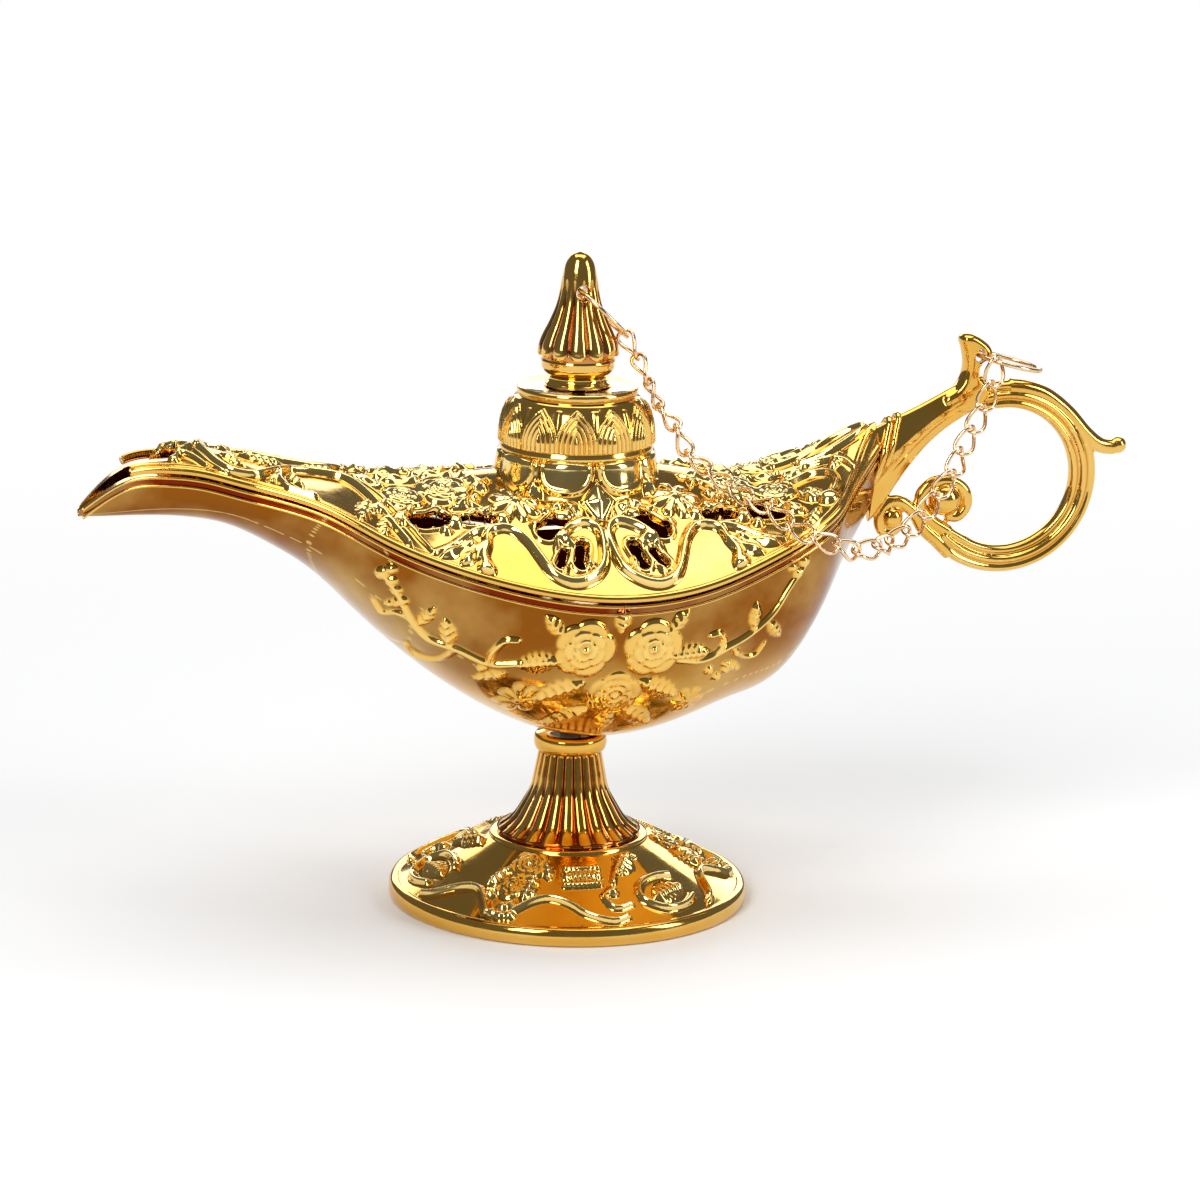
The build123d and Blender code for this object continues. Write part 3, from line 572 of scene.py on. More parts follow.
def felt(name):
    material, tree, shader = node_material(name)
    fibres = noise(tree, 2600.0, 6.0, 0.7)
    stops = [(0.3, (0.012, 0.01, 0.009)), (0.7, (0.05, 0.043, 0.038))]
    driven(tree, shader.inputs["Base Color"], fibres, stops)
    shader.inputs["Roughness"].default_value = 0.95
    shader.inputs["Sheen Weight"].default_value = 0.4
    bumped(tree, shader, fibres, 0.8, 0.15)
    return material


# Heights between which the bowl's colour runs from its keel's to its side's, a painted reflection: pale
# at the keel, darker up the side
keel_reflection_levels = (36.0, 60.0)
gold = plated_gold(
    "gold_plate",
    recess_shade=(0.40, 0.09, 0.01),
    ground=(0.80, 0.45, 0.08),
    mid=(0.86, 0.53, 0.12),
    bright=(0.96, 0.73, 0.28),
    polish=(0.06, 0.17),
    ripple=0.05,
)
# The bowl's darker copy of the gold, with painted reflection and shade: dark on its sides and pale at
# its keel.
bowl_gold_painted_reflection = plated_gold(
    "bowl_gold_plate_painted_reflection",
    recess_shade=(0.20, 0.02, 0.004),
    ground=(0.27, 0.085, 0.008),
    mid=(0.80, 0.44, 0.07),
    bright=(0.94, 0.66, 0.20),
    polish=(0.08, 0.20),
    ripple=0.05,
    keel=(0.84, 0.46, 0.07),
)
wire_gold = plain_metal("pale_gold_wire", (0.93, 0.72, 0.46), (0.80, 0.52, 0.28), (0.10, 0.22))
turned_brass = plain_metal("turned_brass", (0.78, 0.56, 0.24), (0.62, 0.42, 0.16), (0.22, 0.38))
plated_steel = plain_metal("zinc_plated_steel", (0.62, 0.62, 0.60), (0.42, 0.42, 0.40), (0.25, 0.45))
lacquer = inside_lacquer("inside_lacquer")
black_felt = felt("felt")


# Bowl

# Depth of the painted shade band below the bowl's rim, under the cover's edge
rim_shade_height = 1.75
gilt_spout_start = 66.0


def rose_spray(canvas):
    """The flowers, leaves and vines on each side of the bowl; u is X and v is height."""
    canvas.rose((-6.0, 57.6), 5.9, 1.6)
    canvas.rose((7.2, 57.2), 5.8, 1.6, 2.2)
    canvas.rose((1.0, 47.6), 5.0, 1.4, 1.0)
    canvas.daisy((-16.0, 46.0), 4.0, 1.0, 7)
    canvas.daisy((16.6, 44.6), 3.4, 0.9, 6)
    for side, tip in ((-1, (-18.6, 54.6)), (1, (18.6, 55.8))):
        canvas.leaf((side * 10.4, 55.4), tip, 5.2, 1.1, 7, 0.35)
        canvas.leaf((side * 5.2, 50.6), (side * 13.8, 46.6), 5.0, 1.1, 6, 0.3)
        canvas.leaf((side * 10.2, 60.2), (side * 13.8, 64.6), 3.0, 0.9, 4)
        canvas.leaf((side * 3.4, 44.2), (side * 10.0, 39.6), 4.4, 0.95, 5, 0.2)
    canvas.leaf((0.8, 60.6), (1.0, 65.8), 3.4, 0.9, 4)
    canvas.leaf((1.0, 43.8), (0.5, 37.6), 4.0, 0.9, 5, 0.2)
    left_vine = [(-12.5, 55.4), (-18.0, 54.6), (-22.9, 54.3), (-28.5, 56.9), (-33.5, 58.6)]
    left_vine += [(-37.2, 62.8), (-39.6, 67.4), (-42.9, 72.1)]
    right_vine = [(12.5, 54.5), (17.5, 54.0), (22.6, 56.2), (26.8, 58.2), (31.5, 62.0)]
    right_vine += [(34.5, 66.6), (37.6, 70.6)]
    for vine in (left_vine, right_vine):
        canvas.stroke(vine, 1.45, 1.05, 0.9)
    canvas.stroke([(-22.9, 54.3), (-22.6, 57.0), (-20.9, 59.4), (-18.6, 59.6)], 1.5, 1.05, 1.1)
    canvas.stroke([(20.0, 54.9), (21.4, 57.3), (20.4, 59.2), (18.6, 59.0)], 1.4, 1.05, 1.0)
    canvas.stroke([(-28.8, 56.9), (-30.9, 53.6), (-34.0, 53.4), (-36.2, 55.8)], 1.2, 0.9, 0.7)
    canvas.stroke([(-37.2, 62.8), (-39.4, 63.6), (-41.4, 63.0), (-43.4, 65.6)], 1.2, 0.9, 0.7)
    canvas.stroke([(23.0, 56.4), (26.0, 53.6), (29.0, 53.4), (30.8, 55.8)], 1.2, 0.9, 0.7)
    canvas.leaf((-29.8, 57.4), (-31.6, 63.4), 3.0, 1.0, 4)
    canvas.leaf((27.6, 59.0), (27.8, 64.8), 2.8, 1.0, 4)
    canvas.leaf((30.6, 60.4), (34.2, 56.6), 2.6, 0.9, 4)
    canvas.leaf((-36.0, 61.0), (-33.4, 65.6), 2.4, 0.9, 4)
    canvas.leaf((-38.4, 66.0), (-41.8, 65.2), 2.2, 0.9, 3)
    canvas.leaf((-19.8, 52.4), (-24.6, 50.2), 2.6, 0.9, 4)
    canvas.leaf((22.0, 52.6), (26.4, 50.6), 2.4, 0.9, 4)
    for u, v, radius in (
        (-40.2, 68.4, 1.0),
        (-41.2, 70.2, 1.1),
        (-42.8, 71.6, 1.3),
        (-41.4, 72.6, 1.0),
        (-38.9, 66.2, 1.0),
        (-23.8, 53.0, 0.9),
        (-20.8, 51.4, 0.9),
        (21.4, 49.6, 1.0),
        (23.0, 51.0, 0.9),
        (19.4, 51.4, 1.0),
        (36.4, 69.4, 1.1),
        (37.8, 71.6, 1.2),
        (35.2, 70.8, 1.0),
        (24.6, 54.6, 0.9),
    ):
        canvas.bead((u, v), radius, 0.95)


def bowl_grid(rows, columns, inset):
    """Points of the hull, from the far rim under the keel to the near rim."""
    x = np.linspace(-spout_reach, tail_reach, rows)[:, None]
    angle = np.linspace(0, math.pi, columns)[None, :]
    half, rim, keel, _ = boat_at(x)
    wall = np.minimum(inset, half / 3)
    y = (half - wall) * np.cos(angle)
    z = rim - (rim - keel - wall) * np.sin(angle)
    return np.stack([np.broadcast_to(x, y.shape), y, z], axis=-1)


def make_bowl():
    outer = bowl_grid(620, 400, 0.0)
    canvas = Canvas(outer[..., 0], outer[..., 2])
    rose_spray(canvas)
    canvas.height = softened(canvas.height, 2)
    points = outer + grid_normals(outer) * canvas.height[..., None]
    _, rim, _, _ = boat_at(outer[..., 0])
    # Painted shade: the band just below the rim takes the darkest colour, and elsewhere the relief
    # height sets painted shade and highlight.
    light_and_shade_tone = np.where(rim - outer[..., 2] < rim_shade_height, -1.0, canvas.height)
    shell = mesh_object("bowl_outside", points, grid_faces(*outer.shape[:2]), (), light_and_shade_tone)
    inner = bowl_grid(260, 90, casting_wall)
    lining = mesh_object("bowl_lining", inner, grid_faces(*inner.shape[:2])[:, ::-1])
    rim = rim_band("bowl_rim_band", outer, inner)
    dress(shell, "lamp_body", bowl_gold_painted_reflection, "gold_plate", "oil_bowl")
    dress(lining, "lamp_body", lacquer, "gold_plate")
    lining.data.materials.append(gold)
    for polygon in lining.data.polygons:
        polygon.material_index = int(polygon.center.x < -gilt_spout_start * MM)
    dress(rim, "lamp_body", gold, "gold_plate")


def rim_band(name, outer, inner):
    """The flat edge of the wall between the hull and its lining."""
    loops = []
    for grid in (outer, inner):
        x = np.linspace(-spout_reach, tail_reach, 420)
        near = np.stack([np.interp(x, grid[:, -1, 0], grid[:, -1, k]) for k in range(3)], axis=1)
        far = np.stack([np.interp(x, grid[:, 0, 0], grid[:, 0, k]) for k in range(3)], axis=1)
        loops.append(np.vstack([near, far[::-1]]))
    points = np.stack(loops)
    return mesh_object(name, points, grid_faces(2, points.shape[1], False, True))


def boat_edge(x_start, offset, rise, count=420):
    """The line round the boat's edge, from the spout along one side and back along the other."""
    x = np.linspace(x_start, tail_reach, count)
    half, rim, _, _ = boat_at(x)
    near = np.stack([x, -half - offset, rim + rise], axis=1)
    far = np.stack([x[::-1], half[::-1] + offset, rim[::-1] + rise], axis=1)
    return np.vstack([near, far])


def make_edge_rolls():
    """Rolled mouldings: one on the cover's edge, and a thin one below the bowl's rim band."""
    start = -cover_start_share * spout_reach
    tip = -spout_reach + 0.7
    rolls = [
        ("cover_edge_roll", start, 0.0, seam_gap + 0.85, 0.78),
        ("cover_edge_fillet", start, -0.9, seam_gap + cover_lip + 0.25, 0.32),
        ("bowl_rim_roll", tip, 0.12, -0.35, 0.34),
        ("bowl_rim_line", tip, 0.05, -1.9, 0.28),
    ]
    for name, x_start, offset, rise, radius in rolls:
        route = boat_edge(x_start, offset, rise)
        roll = sweep(name, route, round_section(radius, 12), side=(0.0, 0.0, 1.0))
        dress(roll, "lamp_body", gold, "gold_plate")


# Cover

cover_rows = 860
cover_columns = 380
# Openings on each side of the cover's middle: both ends of their middle line, and width
openings = [
    ((4.9, 15.2), (11.4, 21.4), 3.3),
    ((21.4, 18.3), (25.6, 18.1), 2.5),
    ((31.2, 17.6), (34.6, 18.4), 4.2),
    ((4.9, 24.2), (6.2, 27.6), 2.1),
    ((8.6, 25.6), (10.2, 28.0), 1.5),
]
throat_clear_radius = 12.6
opening_edge = 1.1


def capsule(x, y, start, end, width):
    """Signed distance to a slot; below zero inside it."""
    run = (end[0] - start[0], end[1] - start[1])
    share = ((x - start[0]) * run[0] + (y - start[1]) * run[1]) / (run[0] ** 2 + run[1] ** 2)
    share = np.clip(share, 0, 1)
    return np.hypot(x - start[0] - share * run[0], y - start[1] - share * run[1]) - width / 2


def cover_openings(x, y):
    """Signed distance to the nearest opening; the throat's bore counts too."""
    side = np.abs(x)
    near = np.abs(y)
    gap = np.hypot(x, y) - throat_clear_radius
    for start, end, width in openings:
        gap = np.minimum(gap, capsule(side, near, start, end, width))
    return gap


def mouth_gap(x, z):
    """How far a point lies behind the slanted front of the cover."""
    low_x = -mouth_low_share * spout_reach
    _, rim, _, _ = boat_at(np.array([low_x]))
    slope = mouth_run / mouth_rise
    return (x - low_x - (z - rim[0] - seam_gap) * slope) / math.hypot(1, slope)


def dome_height(x, y):
    half, rim, _, crown = boat_at(x)
    share = np.clip(np.abs(y) / half, 0, 1)
    foot = rim + seam_gap + cover_lip
    return foot + (crown + seam_gap - foot) * (1 - share**crown_power)


def cover_scrolls(canvas):
    """The scrollwork of the cover; u is X and v is the distance from the middle line."""
    for side in (-1, 1):
        def draw(route):
            return mirrored(route, side)

        swirl = [(9.2, 22.4), (6.6, 20.2), (3.2, 19.0), (0.9, 21.0), (0.9, 24.6), (2.0, 28.0)]
        swirl += [(5.0, 30.3), (8.8, 31.2), (12.0, 30.0), (13.8, 27.0), (15.3, 23.8), (17.6, 21.2)]
        swirl += [(20.3, 20.6), (22.6, 22.0), (23.4, 24.6)]
        branch = [(20.3, 20.6), (25.0, 21.4), (29.8, 24.6), (34.0, 26.6)]
        canvas.stroke(draw(swirl), 2.1, 1.6, 1.6, groove=0.35)
        canvas.stroke(draw(branch), 2.1, 1.5, 1.0, groove=0.35)
        canvas.stroke(draw([(23.4, 24.6), (24.6, 27.0), (24.4, 29.4)]), 1.8, 1.4, 2.6)
        canvas.bead(draw([(24.6, 29.6)])[0], 1.7, 1.5)
        canvas.leaf(*draw([(23.6, 24.0), (29.4, 29.0)]), 3.0, 1.3, 1.5)
        canvas.leaf(*draw([(25.4, 23.6), (33.0, 27.6)]), 2.8, 1.2, 1.5)
        canvas.leaf(*draw([(8.4, 21.6), (3.6, 28.6)]), 3.0, 1.4, 1.5)
        canvas.leaf(*draw([(9.8, 22.8), (9.6, 30.2)]), 2.6, 1.2, 1.5)
        canvas.bead(draw([(8.9, 22.6)])[0], 1.6, 1.6)
        canvas.daisy(draw([(15.6, 14.2)])[0], 5.0, 1.9, 8, 0.2)
        canvas.rose(draw([(28.4, 8.0)])[0], 5.4, 2.0, 0.6)
        canvas.rose(draw([(36.6, 10.6)])[0], 4.4, 1.8, 2.0)
        canvas.bead(draw([(28.2, 18.4)])[0], 1.9, 1.5)
        canvas.bead(draw([(18.8, 18.0)])[0], 1.5, 1.3)
        for base, tip, width in (
            ((20.4, 15.6), (26.6, 17.4), 3.2),
            ((22.0, 11.6), (28.0, 14.8), 3.6),
            ((31.2, 13.2), (33.0, 20.8), 3.4),
            ((35.6, 14.6), (40.2, 20.4), 3.6),
            ((20.2, 9.8), (23.4, 2.2), 3.8),
            ((32.4, 4.6), (40.4, 2.4), 3.6),
            ((11.4, 16.6), (5.4, 17.2), 2.8),
            ((25.0, 2.4), (33.0, 0.8), 3.0),
            ((39.6, 7.8), (45.0, 3.6), 3.2),
            ((40.4, 13.2), (44.0, 17.6), 2.8),
        ):
            canvas.leaf(*draw([base, tip]), width, 1.4, 2)
        stem = [(19.0, 6.0), (23.0, 8.6), (24.4, 12.6), (21.4, 16.4), (19.2, 19.0)]
        canvas.stroke(draw(stem), 1.3, 1.1, 0.8)
        canvas.stroke(draw([(30.0, 14.6), (34.0, 16.8), (36.4, 21.6), (34.4, 26.0)]), 1.3, 1.1, 0.8)
        for spot in ((13.0, 20.0), (32.6, 3.6), (24.4, 9.4), (41.0, 6.0), (30.4, 20.8)):
            canvas.bead(draw([spot])[0], 1.2, 1.3)
    spout_scrolls(canvas)
    tail_scrolls(canvas)


def spout_scrolls(canvas):
    root = [(-56.5, 3.4), (-51.0, 2.6), (-46.0, 4.5), (-42.8, 12.0), (-40.6, 20.0), (-38.2, 25.8)]
    neck = [(-73.5, 1.5), (-71.4, 6.4), (-68.4, 9.4), (-64.0, 9.4), (-59.6, 5.6), (-56.5, 3.4)]
    canvas.stroke(root, 1.7, 1.4, 1.2)
    canvas.stroke(neck, 1.6, 1.4, 1.4)
    canvas.stroke([(-45.2, 3.0), (-41.8, 9.6), (-38.6, 17.4), (-35.6, 24.0)], 1.2, 1.1, 0.8)
    canvas.stroke([(-74.5, 3.0), (-72.4, 7.4), (-69.4, 10.3)], 0.9, 0.9, 0.7)
    canvas.stroke([(-59.0, 6.0), (-59.8, 10.4), (-58.6, 14.4), (-55.8, 16.4)], 1.5, 1.2, 2.0)
    canvas.bead((-55.2, 16.6), 1.7, 1.4)
    canvas.leaf((-58.8, 6.4), (-62.4, 12.6), 2.2, 1.0, 4)
    canvas.leaf((-57.4, 6.0), (-55.8, 13.0), 2.4, 1.1, 4)
    canvas.leaf((-43.6, 13.0), (-47.0, 21.6), 3.0, 1.2, 5)
    canvas.bead((-45.8, 19.0), 1.4, 1.2)
    canvas.leaf((-41.2, 17.4), (-43.2, 25.2), 2.6, 1.0, 5)
    canvas.stroke([(-78.6, 5.6), (-77.4, 3.8), (-75.2, 5.6), (-73.2, 8.4)], 1.2, 1.1, 0.8)
    canvas.bead((-79.0, 5.8), 1.1, 1.1)
    canvas.stroke([(-86.4, 5.0), (-81.0, 3.9), (-76.6, 1.8), (-75.0, 0.0)], 1.3, 0.9, 1.3)
    canvas.leaf((-66.4, 1.4), (-57.6, 0.4), 3.0, 1.1, 6, 0.2)
    canvas.leaf((-69.6, 2.6), (-66.0, 6.6), 2.4, 1.0, 4)
    canvas.leaf((-54.0, 0.6), (-47.4, 1.6), 2.6, 1.0, 5)


def tail_scrolls(canvas):
    canvas.bead((45.4, 17.6), 2.0, 1.5)
    canvas.stroke([(40.5, 8.0), (44.6, 7.2), (48.0, 9.6), (48.4, 13.4), (46.6, 16.4)], 1.5, 1.3, 1.0)
    canvas.stroke([(45.0, 0.8), (50.4, 3.0), (55.0, 2.4), (58.0, 0.8)], 1.5, 1.2, 0.9)
    canvas.stroke([(41.0, 3.6), (46.0, 3.6), (51.0, 6.8), (52.6, 10.0)], 1.4, 1.2, 0.9)
    canvas.leaf((42.4, 12.0), (44.6, 16.8), 2.8, 1.1, 4)
    canvas.leaf((42.8, 20.0), (38.4, 25.6), 3.0, 1.1, 5)
    canvas.leaf((48.4, 9.0), (52.0, 4.6), 2.4, 1.1, 4)
    border = [(39.0, 26.4), (43.4, 23.0), (47.6, 18.6), (51.4, 12.4), (55.6, 5.4), (58.4, 2.0)]
    canvas.stroke(border, 1.1, 0.8, 0.8)


def make_cover():
    """The openwork cover: a fine grid with its openings cut true to their outlines."""
    x = np.linspace(-cover_start_share * spout_reach, tail_reach, cover_rows)[:, None]
    share = np.linspace(-1, 1, cover_columns)[None, :]
    half, _, _, _ = boat_at(x)
    y = half * share
    x = np.broadcast_to(x, y.shape).copy()
    spacing = (spout_reach + tail_reach) / cover_rows
    x, y = snapped(x, y, spacing)
    z = dome_height(x, y)
    gap = np.minimum(cover_openings(x, y), mouth_gap(x, z))
    base = np.stack([x, y, z], axis=-1)
    canvas = Canvas(x, np.abs(y))
    cover_scrolls(canvas)
    canvas.height = softened(canvas.height, 7)
    rim_rise = 0.55 * np.sin(math.pi * np.clip(cover_openings(x, y) / opening_edge, 0, 1))
    raised = np.maximum(canvas.height * np.clip(cover_openings(x, y) / 0.4, 0, 1), rim_rise)
    raised *= np.clip((1 - np.abs(share)) * half / 0.8, 0, 1)
    points = base + grid_normals(base) * raised[..., None]
    faces = grid_faces(*y.shape)
    keep = (gap.ravel()[faces] > -0.05).all(axis=1)
    shell = mesh_object("cover_shell", points, faces[keep], (), raised)
    thick = shell.modifiers.new("wall", "SOLIDIFY")
    thick.thickness = casting_wall * MM
    thick.offset = -1
    thick.material_offset = 1
    thick.use_even_offset = False
    apply_modifiers(shell)
    dress(shell, "lamp_body", gold, "gold_plate", "openwork_cover")
    shell.data.materials.append(lacquer)


def snapped(x, y, spacing):
    """Moves grid points beside an opening onto its outline, so the cut edge is smooth."""
    step = spacing / 4
    for _ in range(2):
        gap = cover_openings(x, y)
        across = (cover_openings(x + step, y) - cover_openings(x - step, y)) / (2 * step)
        along = (cover_openings(x, y + step) - cover_openings(x, y - step)) / (2 * step)
        near = np.abs(gap) < 0.55 * spacing
        x = np.where(near, x - gap * across, x)
        y = np.where(near, y - gap * along, y)
    return x, y


# Throat, lid and finial

throat_top = bowl_floor + axis_crown_share * bowl_depth + throat_rise + seam_gap
throat_radius = 14.3
throat_foot_radius = 18.6
throat_bore_radius = 11.7
throat_height = 9.6
throat_bore_depth = 6.0
throat_skirt = 2.4
throat_edge_round = 0.15
throat_profile_points = 46
lobe_count = 8
lobe_drop = 5.0


def wrapped(angle, count, shift=0.0):
    """Place within one of count equal sectors, from -1 to 1."""
    return ((angle * count / math.tau + shift) % 1.0) * 2 - 1


def throat_ornament(canvas):
    """Leaves, buds and the two kites round the throat below its lobes; v is the drop from its top."""
    gap_width = math.tau * throat_radius / lobe_count
    for number in range(-1, lobe_count + 2):
        middle = number * gap_width
        if number % (lobe_count // 2) == lobe_count // 4:
            canvas.kite((middle, 6.4), 2.9, 4.9, 4.0, 1.9)
        else:
            canvas.leaf((middle, 9.8), (middle, 3.2), 3.8, 1.3, 1.5)
        for side in (-1, 1):
            canvas.leaf((middle + side * 2.6, 9.8), (middle + side * 5.2, 6.4), 3.0, 1.1, 1.5)
            canvas.bead((middle + side * 5.4, 9.0), 1.2, 1.1)


def throat_relief(angle, height, radius):
    place = wrapped(angle, lobe_count)
    drop = (throat_top - height) / lobe_drop
    reach = (np.abs(place / 0.84) ** 2.6 + np.clip(drop, 0, None) ** 2.6) ** (1 / 2.6)
    inside = reach < 1
    swell = 1.1 * np.sqrt(np.clip(1 - reach**2, 0, 1))
    edge = 0.6 * np.exp(-(((reach - 1.0) / 0.085) ** 2))
    on_side = radius > throat_bore_radius + 0.6
    canvas = Canvas((angle % math.tau) * throat_radius, throat_top - height)
    throat_ornament(canvas)
    canvas.height = softened(canvas.height, 1)
    plain = (np.where(inside, swell, 0) + edge) * (drop > -0.01)
    return np.maximum(plain, canvas.height * (reach > 0.97)) * on_side


def make_throat():
    low = throat_top - throat_height
    edge = throat_top - throat_edge_round
    flare = throat_foot_radius - throat_radius
    shares = np.linspace(1, 0, throat_profile_points)
    side = [(throat_radius + flare * share**1.6, edge - throat_height * share) for share in shares]
    bore = [(throat_radius - 2 * throat_edge_round, throat_top), (throat_bore_radius, throat_top)]
    bore.append((throat_bore_radius, throat_top - throat_bore_depth))
    bore.append((throat_foot_radius - throat_skirt, low))
    throat = lathe("cover_throat", side + bore, 480, closed=True, relief=throat_relief)
    dress(throat, "lamp_body", gold, "gold_plate")


lid_seat_gap = 0.2
lid_band = 10.9
lid_band_radius = 14.6
flange_thickness = 2.0
flange_dish = 0.12
lid_wall = 1.6
petal_count = 12
lid_bottom = throat_top + lid_seat_gap
lid_top = lid_bottom + lid_band
flange_top = lid_top + flange_thickness


def lid_relief(angle, height, radius):
    """Pointed petals with nested ridges round the lid's band."""
    place = wrapped(angle, petal_count)
    half_width = math.pi * lid_band_radius / petal_count
    low = lid_bottom + 2.3
    up = (height - low) / half_width - 0.35
    across = np.abs(place)
    pointed = (across + 1.35) ** 2 + np.clip(up, 0, None) ** 2 * 1.28
    arch = np.where(up < 0, across, np.sqrt(pointed) - 1.35)
    inside = (arch < 1) & (height > low)
    ridge = 0.5 + 0.5 * np.cos(math.tau * (arch * 4.0 - 0.1))
    petal = 0.10 + 0.40 * ridge + 0.16 * (1 - arch**2)
    behind = 0.35 * np.exp(-(((1 - across) / 0.12) ** 2)) * (height > low) * (height < lid_top - 1.0)
    bead = 0.5 * np.exp(-(((height - lid_bottom - 1.1) / 0.75) ** 2))
    on_side = (radius > 11.95) & (height < lid_top - 0.2)
    return (np.where(inside, petal, behind * 0.6) + bead) * on_side


def make_lid():
    outside = smooth_route(
        [
            (14.0, lid_bottom),
            (14.35, lid_bottom + 1.4),
            (14.45, lid_bottom + 3.4),
            (14.1, lid_bottom + 6.4),
            (13.3, lid_bottom + 8.9),
            (12.0, lid_top - 0.1),
        ],
        14,
    )
    dish = flange_top - flange_dish
    ceiling = lid_top - lid_wall
    flange = [(11.3, lid_top + 0.05), (11.15, lid_top + 0.35), (11.55, lid_top + 0.7)]
    flange += [(11.6, lid_top + 1.1), (11.6, flange_top - 0.35), (11.3, flange_top)]
    flange += [(10.9, dish), (6.0, dish), (1.7, dish), (1.7, ceiling)]
    inside = [(10.4, ceiling), (12.3, lid_top - 5.4), (12.3, lid_bottom)]
    profile = np.vstack([outside, flange, inside])
    lid = lathe("lid_band", profile, 720, closed=True, relief=lid_relief)
    dress(lid, "lid", gold, "gold_plate", "lid_shell")


finial_height = 25.6
gadroon_count = 12
eye_share = 0.707
eye_height = flange_top + eye_share * finial_height
eye_radius = 1.5
finial_drill_reach = 9.0
handle_drill_reach = 6.0


def gadroons(angle, height, radius):
    """Rounded lobes down the finial with scalloped lower ends."""
    place = wrapped(angle, gadroon_count)
    rounding = np.sqrt(np.clip(1 - (0.98 * place) ** 2, 0, 1)) ** 1.2
    lower_end = flange_top + 6.8 - 1.1 * rounding
    upper_end = flange_top + 20.5
    share = np.clip((upper_end - height) / (upper_end - lower_end), 0, 1)
    depth = 1.25 * share**0.6
    on_lobes = height > lower_end
    scallop = 0.4 * np.exp(-(((height - lower_end - 0.4) / 0.5) ** 2))
    lobes = (rounding - 1) * depth + 0.1 * share + scallop * rounding * 0.5
    return np.where(on_lobes, lobes, -0.45 * (height > flange_top + 5.0))


def make_finial():
    base = flange_top
    profile = smooth_route(
        [
            (0.2, base),
            (5.9, base),
            (6.2, base + 0.3),
            (5.55, base + 1.1),
            (5.5, base + 1.9),
            (6.2, base + 2.5),
            (6.9, base + 3.4),
            (7.0, base + 4.4),
            (7.35, base + 5.6),
            (7.6, base + 7.2),
            (7.0, base + 9.3),
            (5.6, base + 12.2),
            (4.4, base + 15.2),
            (3.75, base + 18.1),
            (3.35, base + 20.6),
            (2.75, base + 23.2),
            (1.7, base + 25.0),
            (0.25, base + finial_height),
        ],
        9,
    )
    finial = lathe("finial_casting", profile, 392, relief=gadroons)
    drill(finial, 0, eye_height, eye_radius, finial_drill_reach, 40)
    dress(finial, "lid", gold, "gold_plate", "finial")


# Foot, stem and collar

foot_top = 13.0
bolt_hole_radius = 2.3
motif_repeats = 3
motif_start_deg = -128.0
motif_overlap_deg = 42.0


def polar(radius, degrees):
    angle = math.radians(degrees)
    return radius * math.cos(angle), radius * math.sin(angle)


def polars(places):
    return [polar(*place) for place in places]


def foot_motif(canvas):
    """One third of the foot's ornament; each place is a radius and an angle in degrees."""
    canvas.rose(polar(18.6, 0), 3.9, 1.6)
    canvas.rose(polar(24.2, -3), 3.0, 1.4, 1.2)
    canvas.leaf(*polars([(21.5, 7), (27.4, 5)]), 3.6, 1.3, 5, 0.25)
    canvas.leaf(*polars([(20.0, -10), (25.6, -14)]), 3.6, 1.3, 5, 0.25)
    canvas.leaf(*polars([(24.6, -8), (29.0, -11)]), 2.8, 1.2, 4, 0.2)
    canvas.leaf(*polars([(17.6, 10), (21.6, 14)]), 2.8, 1.2, 4, 0.2)
    for radius, degrees in ((31.2, -3.5), (31.6, -0.4), (31.2, 2.6), (29.4, -1.2), (28.8, 1.8)):
        canvas.bead(polar(radius, degrees), 1.15, 1.3)
    forward = [(30.2, 3), (27.2, 9), (26.0, 16), (27.2, 24), (30.0, 31), (31.8, 39), (31.0, 45)]
    backward = [(31.2, -6), (28.6, -10), (26.2, -17), (27.0, -25), (30.4, -33), (31.8, -38)]
    for scroll in (forward, backward):
        canvas.stroke(polars(scroll), 1.5, 1.4, 1.1)
    canvas.leaf(*polars([(21.0, 20), (20.6, 42)]), 4.4, 0.9, 9)
    for step in range(9):
        canvas.bead(polar(22.7 - 0.02 * step, 22 + 2.1 * step), 0.62, 1.1)
        canvas.bead(polar(18.9 - 0.02 * step, 22 + 2.3 * step), 0.62, 1.1)
    canvas.leaf(*polars([(20.6, 52), (16.6, 66)]), 4.2, 1.3, 5)
    canvas.stroke(polars([(22.4, 46), (19.0, 52), (16.8, 62), (17.6, 70)]), 1.1, 1.1, 0.7)
    canvas.leaf(*polars([(27.6, 60), (26.6, 78)]), 5.6, 1.2, 7, 0.1)
    oval = [(27.4, 55), (30.4, 62), (30.4, 72), (28.0, 82), (24.0, 79), (22.8, 68), (24.0, 58)]
    canvas.stroke(polars(oval), 1.4, 1.4, closed=True)
    canvas.stroke(polars([(24.4, 43), (26.0, 39), (28.6, 42), (28.0, 49)]), 1.4, 1.2, 1.0)
    canvas.bead(polar(24.6, 43.5), 1.2, 1.3)
    canvas.stroke(polars([(24.4, 96), (27.0, 90), (30.0, 86), (32.0, 80)]), 1.3, 1.2, 0.9)
    canvas.stroke(polars([(21.0, 92), (23.4, 86), (22.0, 80)]), 1.2, 1.1, 0.8)
    canvas.leaf(*polars([(19.0, 78), (16.8, 92)]), 3.8, 1.2, 5)
    canvas.leaf(*polars([(19.6, 98), (23.8, 104)]), 3.6, 1.2, 5, 0.2)


